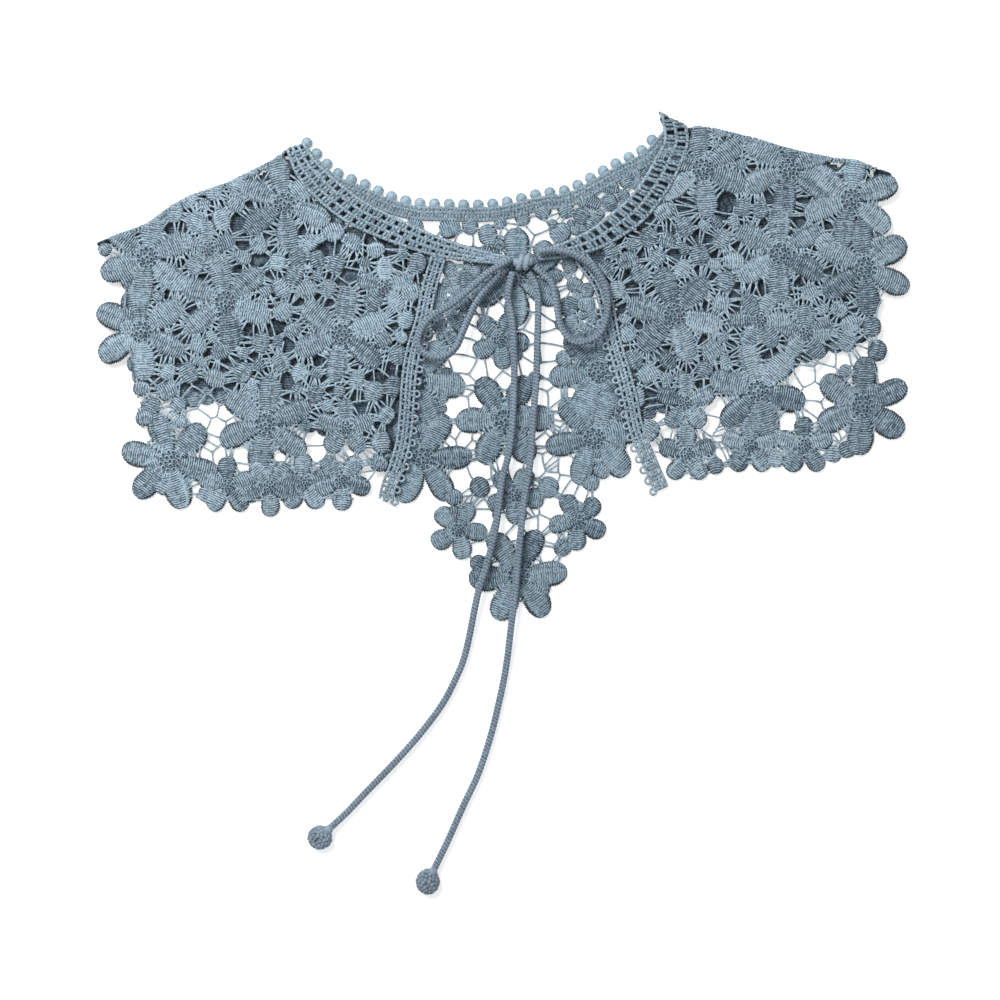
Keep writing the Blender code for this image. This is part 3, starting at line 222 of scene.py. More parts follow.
# The tie: x, y, z of the cord's centreline
LEFT_LOOP = (
    (3.4, 53.5, 6.9), (-9.0, 45.6, 7.6), (-24.0, 32.5, 7.6), (-38.0, 23.0, 7.6), (-43.0, 12.0, 7.6),
    (-38.0, 5.5, 7.6), (-30.5, 4.5, 7.2), (-24.0, 9.5, 6.4), (-19.0, 21.0, 5.4), (-12.5, 34.0, 5.0),
    (-2.4, 46.0, 5.0),
)
RIGHT_LOOP = (
    (17.0, 56.8, 7.4), (24.0, 57.8, 7.6), (33.5, 56.0, 7.6), (43.0, 50.5, 7.6), (50.0, 40.0, 7.6),
    (51.5, 28.5, 7.6), (48.0, 17.0, 7.6), (41.0, 12.5, 7.4), (33.5, 13.0, 6.6), (28.0, 21.0, 5.6),
    (26.0, 32.5, 5.2), (23.6, 42.0, 5.0), (15.2, 49.8, 5.0),
)
LEFT_TAIL = (
    (4.4, 47.2, 5.0), (3.0, 42.0, 4.8), (2.0, 34.5, 4.6), (4.0, 23.0, 4.6), (5.0, 7.5, 4.6),
    (5.0, -11.5, 4.6), (4.0, -31.0, 4.6), (2.0, -45.0, 4.6), (-1.0, -56.5, 4.6), (-4.0, -79.5, 4.6),
    (-9.0, -100.5, 4.6), (-13.0, -113.0, 4.4), (-19.0, -142.0, 2.2), (-24.5, -156.5, 2.0),
    (-31.5, -169.5, 2.0), (-42.5, -184.0, 2.0), (-55.0, -198.0, 2.0), (-69.0, -212.5, 2.0),
    (-79.0, -223.0, 2.0), (-86.6, -230.0, 2.3),
)
RIGHT_TAIL = (
    (12.2, 46.6, 5.0), (15.6, 41.0, 4.8), (17.0, 32.0, 4.6), (16.5, 7.5, 4.6), (16.0, -8.0, 4.6),
    (14.5, -26.0, 4.6), (13.0, -48.0, 4.6), (10.0, -67.0, 4.6), (7.0, -96.5, 4.6),
    (5.5, -113.0, 4.6), (3.5, -130.0, 4.4), (1.0, -150.0, 2.4), (-2.5, -167.5, 2.0),
    (-7.0, -185.5, 2.0), (-13.0, -203.5, 2.0), (-20.0, -218.5, 2.0), (-28.0, -236.5, 2.0),
    (-34.9, -250.8, 2.3),
)
KNOT_CENTRE = (9.6, 51.8, 5.8)

# How far the fronts' forms go past the fold line, and the line itself past its end
PAST_FOLD = 7.0
PAST_END = 25.0
BELOW_BACK = [(190.0, -160.0), (-195.0, -160.0)]

# The fold: its middle's height, the radius of the thread's path, and the play at its ends
BEND_CENTRE = 2.4
BEND_THREAD = 1.6
BEND_PLAY = (0.05, 0.02)

# Forms past a seam are drawn back within TUCK_REACH: top at the seam, fall for each mm, least height
TUCK_REACH = 9.0
TUCK_TOP = 1.1
TUCK_FALL = 0.3
TUCK_LEAST = 0.1

# How high the middle of a thread lies over its layer's underside: most threads, and the net's bars
THREAD_HEIGHT = 0.8
HIDDEN_BAR_HEIGHT = 0.5
BAR_HEIGHT = 0.72

# Petals: rib pitch and height, rows a rib, rows of a hidden one, spread of width, bend and level
RIB_PITCH = 1.15
RIB_HEIGHT = 0.24
ROWS_A_RIB = 3
HIDDEN_ROWS = 12
PETAL_WIDTH = (1.08, 1.24)
PETAL_BEND = 0.04
PETAL_LEVEL = (-0.12, 0.18)
PETAL_START = 0.72

# Where a leaf and a petal are widest, and how far past its end each would come to a point
LEAF_CROWN = 0.5
PETAL_CROWN = 0.6
BLUNT = 0.012

# A petal's section: share of the half width, dome, groove of the spine, share of the ribs, and the rim's
# painted shade: light in the middle, dark at the edges and beneath
PETAL_SECTION = np.array(
    [
        (-1.0, 0.0, 0.0, 0.5, 0.1),
        (-0.74, 0.56, 0.12, 1.0, 0.8),
        (-0.38, 0.88, 0.05, 1.0, 1.0),
        (0.0, 1.0, -0.3, 0.6, 1.0),
        (0.38, 0.88, 0.05, 1.0, 1.0),
        (0.74, 0.56, 0.12, 1.0, 0.8),
        (1.0, 0.0, 0.0, 0.5, 0.1),
        (0.55, -0.55, 0.0, 0.0, -0.2),
        (-0.55, -0.55, 0.0, 0.0, -0.2),
    ]
)

# Painted shade and light by relief, from 0, painted dark in a hollow, to 1, painted light on top: shares of
# a petal's parts and of round forms
PETAL_RELIEF = 0.1
PETAL_RELIEF_PLAY = (-0.1, 0.14)
# Painted shade at the rims, in the rib grooves and along the spine; painted light on the ridges, the domes
# and the tops of tubes and balls
RIM_SHADE = 0.36
RIB_SHADE = 0.42
DOME_LIGHT = 0.1
JITTER_RELIEF = 0.08
SPINE_SHADE = 0.25
TUBE_TOP_LIGHT = 0.3
BALL_TOP_LIGHT = 0.35
# Painted shade on what lies hidden under the fronts
HIDDEN_SHADE = 0.3
FLECK = 0.13
FLECKS = np.random.default_rng(5)

# Flower middles: bead radius, and for each ring of beads its share of the radius, count and height
BEAD = 1.27
BUD_RINGS = ((0.0, 1, 1.9), (0.44, 5, 1.8), (0.88, 11, 1.5))
SMALL_BUD = 4.0
SMALL_OUTER_COUNT = 8
DIMPLE = 0.45
DIMPLE_NARROW = 0.6

# The net: thread and gap sizes, and the shortest and longest bar
BAR_RADIUS = 0.54
MESH_PITCH = 6.6
GAP_TRIES = 9000
BAR_LENGTHS = (0.8, 45.0)
BAR_BOW = 0.07
BAR_OVERLAP = 0.4
BAR_INSET = 1.6
FAN_RADIUS = BAR_RADIUS * 0.9
FAN_PITCH = 1.9
FAN_SPREAD = 0.1
FAN_REACH = 7.5
SPOKE_PITCH = 1.7
SPOKE_STEPS = np.arange(1.0, 6.6, 0.45)
SPOKE_CLEAR = 3.2

# Leaves put in by rule. Each pass: half length, half width, free room round its middle
FRONT_PASSES = ((4.6, 3.8, 4.7), (3.4, 2.8, 3.4))
BACK_PASSES = ((4.4, 3.5, 2.8), (3.2, 2.7, 1.7), (2.4, 2.0, 1.0))
LEAF_TRIES = 5000
FREE_GAP = 7.0
HEM_LEAF = (4.3, 3.6)
HEM_LEAF_PITCH = 7.6
HEM_LEAF_INSET = 1.9
HEM_LEAF_ROOM = 0.7
HEM_REACH = 1.8

# Dark rows of thread under the fronts: painted shade that stands for the shade between the layers, seen
# through the fronts' gaps
SHADE_ROW_PITCH = 1.3
SHADE_ROW_RADIUS = 0.86
SHADE_ROW_INSET = 1.3
SHADE_ROW_STEP = 5
SHADE_ROW_HEIGHT = 0.78
SHADE_ROW_SWAY = 0.05

# Chains, and posts with a hole after every few, where a band has holes
CHAIN_RADIUS = 0.95
CHAIN_SWELL = 0.17
FINE_CHAIN = (0.6, 0.8)
FOLD_CHAIN = (0.7, 0.9)
STITCH_PITCH = 1.7
STITCH_STEPS = 4
POST_PITCH = 1.75
POST_RADIUS = 0.8
BAND_POST = 0.98
BAND_HOLES = 4
EDGING_HOLES = 3
NO_HOLES = 0
BACK_BAND_MIDDLE = 4.3

# Knot: lean, shift and size of each turn; x, y, z shift, radius, flatness, sides, and painted shade of each
# lump, darkest for the middle one under the turns
KNOT_TURNS = ((0.15, -1.5, 1.7), (0.1, 1.7, 1.7))
KNOT_LUMPS = (
    (-3.1, 0.0, -0.2, 2.4, 0.85, 14, 0.5),
    (3.1, 0.4, -0.2, 2.3, 0.85, 14, 0.5),
    (0.0, 0.0, -0.4, 3.3, 0.7, 16, 0.35),
)

# Bobbles: bead radius and count, and the lump at the cord
BOBBLE_BEAD = 1.25
BOBBLE_BEADS = 90
BOBBLE_LUMP = 2.4

# Yarns: name, colour of hollows (painted shade), of sides, and of tops (painted light), scale of the twist,
# strength of its bump
LACE_YARN = ("lace_yarn", (0.012, 0.022, 0.036), (0.11, 0.165, 0.21), (0.42, 0.55, 0.64), 2600.0, 0.5)
# The inside yarn is a darker copy of the lace yarn: painted shade on the back layer
SHADED_YARN = (
    "lace_yarn_inside", (0.01, 0.018, 0.03), (0.115, 0.172, 0.222), (0.34, 0.46, 0.535), 2600.0, 0.5
)
CORD_YARN = ("cord_yarn", (0.05, 0.068, 0.092), (0.14, 0.19, 0.245), (0.265, 0.34, 0.415), 2200.0, 0.4)

# The floor and its glow, the world's light, and the lamps: name, place, width, power
FLOOR_HALF = 3.0
FLOOR_DROP = 0.0003
FLOOR_GLOW = 0.48
WORLD_LIGHT = 0.36
LAMPS = (
    ("key", (-0.75, 0.95, 1.2), 0.8, 31.0),
    ("fill", (0.9, -0.3, 1.6), 1.4, 4.0),
)

# The camera looks straight down at the middle of the photo's frame
VIEW_CENTRE = (-0.002, -0.0665)
VIEW_WIDTH = 0.5
LENS = 100.0
SENSOR = 36.0


def nearest_on_path(points, path):
    """For each point its foot on the path, its distance, and 1 where it lies left of the path, else -1."""
    points = np.asarray(points, float)
    path = np.asarray(path, float)
    feet = np.zeros_like(points)
    best = np.full(len(points), np.inf)
    side = np.ones(len(points))
    for a, b in zip(path, path[1:]):
        step = b - a
        along = np.clip(((points - a) @ step) / (step @ step), 0.0, 1.0)
        foot = a + along[:, None] * step
        away = np.linalg.norm(points - foot, axis=1)
        nearer = away < best
        best[nearer] = away[nearer]
        feet[nearer] = foot[nearer]
        turn = step[0] * (points[:, 1] - a[1]) - step[1] * (points[:, 0] - a[0])
        side[nearer] = np.where(turn[nearer] >= 0, 1.0, -1.0)
    return feet, best, side


def edges_of(polygon):
    return zip(polygon, list(polygon[1:]) + [polygon[0]])


def inside(points, polygon):
    """Whether each point lies inside the polygon."""
    points = np.asarray(points, float)
    hit = np.zeros(len(points), bool)
    for (ax, ay), (bx, by) in edges_of(polygon):
        if ay == by:
            continue
        spans = (ay > points[:, 1]) != (by > points[:, 1])
        hit ^= spans & (points[:, 0] < ax + (bx - ax) * (points[:, 1] - ay) / (by - ay))
    return hit


def covered(points, covers):
    """Whether each point lies under one of the covers."""
    hit = np.zeros(len(points), bool)
    for cover in covers:
        hit |= inside(points, cover)
    return hit


def offset_path(path, away):
    """A path moved to its left by away, a number or one number a point."""
    moved = []
    for i, (x, y) in enumerate(path):
        before = path[max(i - 1, 0)]
        after = path[min(i + 1, len(path) - 1)]
        dx, dy = after[0] - before[0], after[1] - before[1]
        size = math.hypot(dx, dy)
        by = away[i] if isinstance(away, (list, tuple)) else away
        moved.append((x - dy / size * by, y + dx / size * by))
    return moved


def smooth(points, pitch):
    """Points at about pitch apart on a smooth curve through the given ones."""
    rows = [np.array(p, float) for p in points]
    rows = [2 * rows[0] - rows[1]] + rows + [2 * rows[-1] - rows[-2]]
    route = []
    for before, a, b, after in zip(rows, rows[1:], rows[2:], rows[3:]):
        steps = max(1, round(float(np.linalg.norm(b - a)) / pitch))
        second = 2 * before - 5 * a + 4 * b - after
        third = 3 * a - before - 3 * b + after
        for i in range(steps):
            t = i / steps
            route.append(0.5 * (2 * a + (b - before) * t + second * t**2 + third * t**3))
    return np.array(route + [rows[-2]])


def marks_along(path):
    """How far along a path each of its points lies."""
    steps = np.linalg.norm(np.diff(path, axis=0), axis=1)
    return np.concatenate([[0.0], np.cumsum(steps)])


def spread(path, count):
    """count points at even distances along a path."""
    marks = marks_along(path)
    wanted = np.linspace(0.0, marks[-1], count)
    return np.stack([np.interp(wanted, marks, path[:, k]) for k in range(path.shape[1])], axis=1)


def evenly(path, pitch):
    """Points at an even distance of about pitch along a path."""
    path = np.asarray(path, float)
    return spread(path, max(1, round(marks_along(path)[-1] / pitch)) + 1)


def runs_of(flags):
    """The first place and the place past the end of each run of true flags."""
    marks = np.flatnonzero(np.diff(np.concatenate([[0], flags.astype(int), [0]])))
    return zip(marks[::2], marks[1::2])


def rings_round(path, radius, turn, flat=1.0):
    """A ring of points square to a path at each of its points, at the angles in turn."""
    along = np.gradient(path, axis=0)
    across = np.stack([-along[:, 1], along[:, 0], np.zeros(len(path))], axis=1)
    across /= np.maximum(np.linalg.norm(across, axis=1, keepdims=True), 1e-6)
    along /= np.maximum(np.linalg.norm(along, axis=1, keepdims=True), 1e-9)
    up = np.cross(along, across)
    level = across[:, None] * np.cos(turn)[None, :, None]
    return path[:, None] + radius * (level + up[:, None] * (flat * np.sin(turn))[None, :, None])


def petal_belly(t, leaf):
    """The share of its full width that a petal or leaf has at t along it, from 0 to 1."""
    crown = LEAF_CROWN if leaf else PETAL_CROWN
    tip = np.sqrt(np.clip(1 - (np.maximum(t - crown, 0) / (1 + BLUNT - crown)) ** 2.1, 0, 1))
    if leaf:
        base = np.sqrt(np.clip(1 - (np.maximum(crown - t, 0) / (crown + BLUNT)) ** 2.4, 0, 1))
    else:
        base = 0.4 + 0.6 * np.sin(math.pi / 2 * np.minimum(t / crown, 1.0)) ** 0.9
    return np.minimum(tip, base)


class Thread:
    """Closed bodies gathered for one piece, in the flat, as x, y and height over the layer's underside."""

    def __init__(self):
        self.points = []
        self.shade_and_tone = []
        self.quads = []
        self.corners = []
        self.count = 0

    def rings(self, rings, shade_and_tone):
        """A tube through rings of points, closed at both ends by a point amid the last ring."""
        rows, around, _ = rings.shape
        first = self.count
        place = first + np.arange(rows * around).reshape(rows, around)
        after = np.roll(place, -1, axis=1)
        self.quads.append(np.stack([place[:-1], after[:-1], after[1:], place[1:]], axis=-1).reshape(-1, 4))
        ends = first + rows * around + np.arange(2)
        low = np.stack([np.full(around, ends[0]), after[0], place[0]], axis=-1)
        high = np.stack([np.full(around, ends[1]), place[-1], after[-1]], axis=-1)
        self.corners += [low, high]
        middles = np.stack([rings[0].mean(axis=0), rings[-1].mean(axis=0)])
        self.points += [rings.reshape(-1, 3), middles]
        self.shade_and_tone += [shade_and_tone.reshape(-1), np.array([shade_and_tone[0].mean(), shade_and_tone[-1].mean()])]
        self.count += rows * around + 2

    def tube(self, path, radius, sides=6, flat=1.0, shade_and_tone=0.45):
        """A tube along a path of x, y, height, wider than high where flat is under 1."""
        path = np.asarray(path, float)
        turn = math.tau * (np.arange(sides) + 0.5) / sides
        radius = np.broadcast_to(np.asarray(radius, float), (len(path),))[:, None, None]
        # Painted light: the tube's top is lighter than its sides
        shade = shade_and_tone + TUBE_TOP_LIGHT * np.sin(turn)[None, :] + np.zeros((len(path), 1))
        self.rings(rings_round(path, radius, turn, flat), shade)

    def ball(self, x, y, height, radius, flat=0.8, sides=8, levels=4, shade_and_tone=0.8, dimple=0.0):
        """A flattened ball with painted light on its top, and a dimple in its top, painted dark as shade,
        where dimple is over 0.
        """
        rises = -np.cos(math.pi * (np.arange(levels) + 0.7) / (levels + 0.4))
        turn = math.tau * np.arange(sides) / sides
        wide = radius * np.sqrt(1 - rises**2)
        rings = np.zeros((levels, sides, 3))
        rings[..., 0] = x + wide[:, None] * np.cos(turn)
        rings[..., 1] = y + wide[:, None] * np.sin(turn)
        rings[..., 2] = (height + radius * flat * rises)[:, None]
        shade = shade_and_tone + BALL_TOP_LIGHT * rises[:, None] + np.zeros((levels, sides))
        if dimple:
            middle = np.array([x, y])
            rings[-1, :, :2] = middle + (rings[-1, :, :2] - middle) * DIMPLE_NARROW
            rings[-1, :, 2] -= dimple * radius
            shade[-1] = 0.0
        self.rings(rings, shade)

    def petal(self, x, y, turn, start, end, half_width, chance, leaf=False, ribbed_top=True):
        """A domed petal of transverse ribs from start to end along turn, with a rim that waves with the
        ribs, painted shade at the rim, in the grooves and beneath, and painted light on the dome.
        A leaf is as wide at both ends, and a petal narrows towards the flower's middle."""
        ribs = round((end - start) / RIB_PITCH)
        rows = ROWS_A_RIB * ribs + 1 if ribbed_top else HIDDEN_ROWS
        t = np.linspace(0.0, 1.0, rows)
        u = start + (end - start) * t
        belly = petal_belly(t, leaf)
        share = belly[:, None]
        slant, arc = chance.uniform(-0.5, 0.5), chance.uniform(0.5, 1.7)
        v, dome, spine, ribbed, rim = PETAL_SECTION.T
        ribbed = ribbed * ribbed_top
        wave = np.cos(math.tau * (ribs * t[:, None] + slant * v + arc * v**2) + chance.uniform(0, 6))
        jitter = np.array([chance.uniform(-1, 1) for _ in range(rows)])
        bend = chance.uniform(-PETAL_BEND, PETAL_BEND) * (end - start)
        width = half_width * chance.uniform(*PETAL_WIDTH) * belly
        width = width * (1 + 0.06 * ribbed_top * wave[:, 0] + 0.035 * jitter)
        height = 0.85 + chance.uniform(*PETAL_LEVEL) + (0.3 + 0.55 * share) * dome
        height += 0.3 * share * spine + (RIB_HEIGHT * wave + 0.05 * jitter[:, None]) * ribbed
        local_v = width[:, None] * v + bend * (1 - (2 * t[:, None] - 1) ** 2)
        rings = np.zeros((rows, len(v), 3))
        rings[..., 0] = x + u[:, None] * math.cos(turn) - local_v * math.sin(turn)
        rings[..., 1] = y + u[:, None] * math.sin(turn) + local_v * math.cos(turn)
        rings[..., 2] = np.maximum(height, 0.05)
        tips = np.minimum(1.0, 0.25 + 1.6 * share)
        # Painted shade and light: dark rims, grooves, spine and underside, a lighter dome, with random tone
        # from the play, jitter and flecks
        shade_and_tone = PETAL_RELIEF + chance.uniform(*PETAL_RELIEF_PLAY)
        shade_and_tone = shade_and_tone + RIM_SHADE * rim * tips + RIB_SHADE * wave * ribbed
        shade_and_tone += DOME_LIGHT * dome * share + JITTER_RELIEF * jitter[:, None] + SPINE_SHADE * spine
        shade_and_tone += FLECK * FLECKS.uniform(-1, 1, shade_and_tone.shape)
        # Painted shade on a petal hidden under a front
        if not ribbed_top:
            shade_and_tone -= HIDDEN_SHADE
        self.rings(rings[:, ::-1], shade_and_tone[:, ::-1])

    def joined(self):
        """All points, their shares of painted shade and random tone, and the faces of the piece."""
        points = np.concatenate(self.points)
        shade_and_tone = np.clip(np.concatenate(self.shade_and_tone), 0.0, 1.0)
        faces = [tuple(q) for q in np.concatenate(self.quads).tolist()]
        faces += [tuple(c) for c in np.concatenate(self.corners).tolist()]
        return points, shade_and_tone, faces


class FlatLie:
    """A layer that lies on the table."""

    def place(self, points):
        return points


class FoldedLie:
    """A layer that lies on the back, comes down past its hem and goes round the shoulder fold."""

    def __init__(self, fold, back_area, inward, seams=()):
        self.fold = fold
        self.back_area = back_area
        self.inward = inward
        self.seams = seams

    def lift(self, flat):
        """How high the layer's underside lies: over the back, or sloping down past its hem."""
        beyond = nearest_on_path(flat, list(self.back_area) + [self.back_area[0]])[1]
        beyond = np.where(inside(flat, self.back_area), 0.0, beyond)
        return LIFT * (1 - np.clip((beyond - HEM_STAY) / HEM_SLOPE, 0.0, 1.0))

    def tucked(self, points):
        """The points with those past a seam drawn back to it and pressed down."""
        points = points.copy()
        for seam, keep_side in self.seams:
            feet, away, side = nearest_on_path(points[:, :2], seam)
            past = side * keep_side < 0
            past &= away < TUCK_REACH
            points[past, :2] = feet[past]
            top = np.maximum(TUCK_TOP - TUCK_FALL * away[past], TUCK_LEAST)
            points[past, 2] = np.minimum(points[past, 2], top)
        return points

    def place(self, points):
        """The points on the lying layer, with those past the fold line bent round and under."""
        points = self.tucked(points)
        flat = points[:, :2]
        feet, away, side = nearest_on_path(flat, self.fold)
        within = away * side * self.inward
        height = points[:, 2] + self.lift(flat)
        spoke = np.clip(height - BEND_CENTRE, BEND_PLAY[0], BEND_CENTRE - BEND_PLAY[1])
        angle = np.clip((BEND_CENTRE - within) / BEND_THREAD, 0.0, math.pi)
        under = np.maximum(BEND_CENTRE - within - math.pi * BEND_THREAD, 0.0)
        outward = (flat - feet) / np.where(np.abs(within) < 1e-6, 1.0, within)[:, None]
        moved = BEND_CENTRE - spoke * np.sin(angle) + under
        bent = np.column_stack([feet + outward * moved[:, None], BEND_CENTRE + spoke * np.cos(angle)])
        straight = np.column_stack([flat, height])
        return np.where((within < BEND_CENTRE)[:, None], bent, straight)


def add_mesh(name, thread, lie, made_of):
    """A piece of the scene from gathered thread, with its shares of painted shade and random tone stored
    for the yarn's shader.
    """
    points, shade_and_tone, faces = thread.joined()
    placed = lie.place(points) * MM
    mesh = bpy.data.meshes.new(name)
    mesh.from_pydata(placed.tolist(), [], faces)
    mesh.shade_smooth()
    stored = mesh.attributes.new("shade_and_tone", "FLOAT", "POINT")
    stored.data.foreach_set("value", shade_and_tone.astype(np.float32))
    mesh.materials.append(made_of)
    mesh.validate()
    obj = bpy.data.objects.new(name, mesh)
    bpy.context.scene.collection.objects.link(obj)
    return obj


def petals_of(flowers, leaves):
    """Ovals as (x, y, turn, half length, half width), for the petals and the single leaves."""
    ovals = []
    for kind, x, y, turn in flowers:
        count, reach, half_length, half_width, _ = FLOWER_KINDS[kind]
        for i in range(count):
            angle = math.radians(turn) + math.tau * i / count
            centre = (x + reach * math.cos(angle), y + reach * math.sin(angle))
            ovals.append((*centre, angle, half_length, half_width))
    for x, y, turn in leaves:
        ovals.append((x, y, math.radians(turn), *LEAF))
    return ovals


def oval_gap(points, ovals):
    """About how far each point lies outside the nearest oval, less than 0 inside one."""
    points = np.asarray(points, float).reshape(-1, 2)
    least = np.full(len(points), 99.0)
    for x, y, turn, half_length, half_width in ovals:
        dx, dy = points[:, 0] - x, points[:, 1] - y
        u = (dx * math.cos(turn) + dy * math.sin(turn)) / half_length
        v = (dy * math.cos(turn) - dx * math.sin(turn)) / half_width
        size = np.maximum(np.hypot(u, v), 1e-6)
        least = np.minimum(least, (size - 1) * np.hypot(dx, dy) / size)
    return least


def random_places(count, area, chance):
    """Places spread at random over an outline's box."""
    low, high = np.min(area, axis=0), np.max(area, axis=0)
    return np.array(
        [[chance.uniform(low[0], high[0]), chance.uniform(low[1], high[1])] for _ in range(count)]
    )


def gap_seeds(fixed, ovals, fences, edge, chance):
    """Middles of the net's gaps: those of the photo, then more wherever net is free."""
    seeds = list(fixed)
    tries = random_places(GAP_TRIES, edge, chance)
    free = inside(tries, edge) & (oval_gap(tries, ovals) > 1.2)
    for path, margin in fences:
        free &= nearest_on_path(tries, path)[1] > margin + 1.6
    for point in tries[free].tolist():
        if all(math.dist(point, other) >= MESH_PITCH for other in seeds):
            seeds.append(tuple(point))
    return seeds


def circumcentre(a, b, c):
    """The point at the same distance from three others, or None where they lie in line."""
    ax, ay = a
    bx, by = b[0] - ax, b[1] - ay
    cx, cy = c[0] - ax, c[1] - ay
    twice = 2 * (bx * cy - by * cx)
    if abs(twice) < 1e-6:
        return None
    ux = (cy * (bx * bx + by * by) - by * (cx * cx + cy * cy)) / twice
    uy = (bx * (cx * cx + cy * cy) - cx * (bx * bx + by * by)) / twice
    return (ax + ux, ay + uy)


def net_bars(seeds):
    """The lines between neighbouring gaps, as pairs of points."""
    _, _, faces, _, _, _ = delaunay_2d_cdt([Vector(s) for s in seeds], [], [], 0, 1e-5)
    middles = [circumcentre(*[seeds[k] for k in face]) for face in faces]
    shared = {}
    for f, face in enumerate(faces):
        for i in range(3):
            shared.setdefault(frozenset((face[i], face[i - 1])), []).append(f)
    bars = []
    for pair in shared.values():
        if len(pair) == 2 and middles[pair[0]] and middles[pair[1]]:
            bars.append((middles[pair[0]], middles[pair[1]]))
    return bars


def lay_bar(thread, a, b, base, ovals, covers, chance, radius=BAR_RADIUS):
    """One slightly curved bar, laid only where it shows, and plainer under a cover."""
    length = math.dist(a, b)
    if length < BAR_LENGTHS[0] or length > BAR_LENGTHS[1]:
        return
    hidden = covered([((a[0] + b[0]) / 2, (a[1] + b[1]) / 2)], covers)[0]
    steps = max(3, round(length / (3.2 if hidden else 1.9)))
    bow = chance.uniform(-BAR_BOW, BAR_BOW) * length
    t = np.linspace(-BAR_OVERLAP / length, 1 + BAR_OVERLAP / length, steps + 1)
    across = np.array([-(b[1] - a[1]), b[0] - a[0]]) / length
    line = np.outer(1 - t, a) + np.outer(t, b) + np.outer(bow * 4 * t * (1 - t), across)
    shown = inside(line, base)
    shown &= oval_gap(line, ovals) > -BAR_INSET
    height = (HIDDEN_BAR_HEIGHT if hidden else BAR_HEIGHT) + 0.12 * chance.uniform(-1, 1)
    for first, end in runs_of(shown):
        count = end - first
        if count > 1:
            path = np.column_stack([line[first:end], np.full(count, height)])
            twist = 1 + 0.08 * np.sin(np.arange(count) * 2.1)
            thread.tube(path, radius * twist, sides=5 if hidden else 6)


def lay_fan(thread, seed, seeds, base, ovals, covers, chance):
    """A few nearly parallel bars across one gap."""
    turn = chance.uniform(0, math.pi)
    count = chance.choice((1, 2, 2, 3))
    near = [s for s in seeds if 0 < math.dist(s, seed) < 20]
    for k in range(count):
        place = k - (count - 1) / 2
        shift = place * FAN_PITCH
        angle = turn + FAN_SPREAD * place
        middle = (seed[0] - shift * math.sin(turn), seed[1] + shift * math.cos(turn))
        ends = []
        for way in (-1, 1):
            dx, dy = way * math.cos(angle), way * math.sin(angle)
            reach = FAN_REACH
            for other in near:
                nx, ny = other[0] - seed[0], other[1] - seed[1]
                size = math.hypot(nx, ny)
                room = size / 2 - ((middle[0] - seed[0]) * nx + (middle[1] - seed[1]) * ny) / size
                speed = (dx * nx + dy * ny) / size
                if speed > 0.05:
                    reach = min(reach, max(0.3, room / speed))
            ends.append((middle[0] + dx * reach, middle[1] + dy * reach))
        lay_bar(thread, ends[0], ends[1], base, ovals, covers, chance, FAN_RADIUS)


def lay_spokes(thread, ovals, base, free_spots, share, covers, chance):
    """Short bars side by side from each petal's rim to the form next to it."""
    for i, (x, y, turn, half_length, half_width) in enumerate(ovals):
        near = [o for k, o in enumerate(ovals) if k != i and math.dist(o[:2], (x, y)) < 28]
        if not near or covered([(x, y)], covers)[0]:
            continue
        count = round(math.tau * math.sqrt((half_length**2 + half_width**2) / 2) / SPOKE_PITCH)
        angle = math.tau * (np.arange(count) + chance.random()) / count
        u, v = half_length * np.cos(angle), half_width * np.sin(angle)
        out_u, out_v = u / half_length**2, v / half_width**2
        size = np.hypot(out_u, out_v)[:, None]
        cosine, sine = math.cos(turn), math.sin(turn)
        rim = np.column_stack([x + u * cosine - v * sine, y + u * sine + v * cosine])
        way = np.column_stack([out_u * cosine - out_v * sine, out_u * sine + out_v * cosine]) / size
        line = rim[:, None] + way[:, None] * SPOKE_STEPS[None, :, None]
        gaps = oval_gap(line, near).reshape(count, -1)
        within = inside(line.reshape(-1, 2), base).reshape(count, -1)
        for k in range(count):
            if gaps[k, 0] < 0.2 or not within[k].all() or chance.random() > share:
                continue
            met = np.nonzero(gaps[k] < 0.0)[0]
            if not len(met):
                continue
            end = line[k, met[0]] + way[k] * 0.6
            if free_spots and min(math.dist(end, s) for s in free_spots) < SPOKE_CLEAR:
                continue
            start = rim[k] - way[k] * 0.8
            flat = np.stack([start, 0.5 * start + 0.5 * end, end])
            path = np.column_stack([flat, np.full(3, THREAD_HEIGHT)])
            path[1, 2] += chance.uniform(-0.1, 0.25)
            thread.tube(path, BAR_RADIUS * chance.uniform(0.85, 1.1))


def more_leaves(ovals, fixed, base, fences, passes, covers, chance):
    """Single leaves wherever the net has room for one: the larger ones first."""
    leaves = []
    for half_length, half_width, room in passes:
        tries = random_places(LEAF_TRIES, base, chance)
        free = inside(tries, base) & (oval_gap(tries, ovals + leaves) > room) & ~covered(tries, covers)
        for path, margin in fences:
            free &= nearest_on_path(tries, path)[1] > margin + 1.0
        for x, y in tries[free].tolist():
            if fixed and min(math.dist((x, y), s) for s in fixed) < FREE_GAP:
                continue
            near = [leaf for leaf in leaves if math.dist(leaf[:2], (x, y)) < 12]
            if oval_gap((x, y), near)[0] > room:
                leaves.append((x, y, chance.uniform(0, math.pi), half_length, half_width))
    return leaves


def hem_leaves(ovals, hem, base, chance):
    """Single leaves along the hem, wherever no flower reaches it."""
    leaves = []
    spots = evenly(smooth(hem, 1.0), HEM_LEAF_PITCH)
    for before, spot, after in zip(spots, spots[1:], spots[2:]):
        step = after - before
        across = np.array([-step[1], step[0]]) / np.linalg.norm(step)
        if not inside([spot + across * HEM_LEAF_INSET], base)[0]:
            across = -across
        x, y = spot + across * HEM_LEAF_INSET
        if oval_gap((x, y), ovals + leaves)[0] > HEM_LEAF_ROOM:
            turn = math.atan2(across[1], across[0]) + chance.uniform(-0.4, 0.4)
            leaves.append((float(x), float(y), turn, *HEM_LEAF))
    return leaves


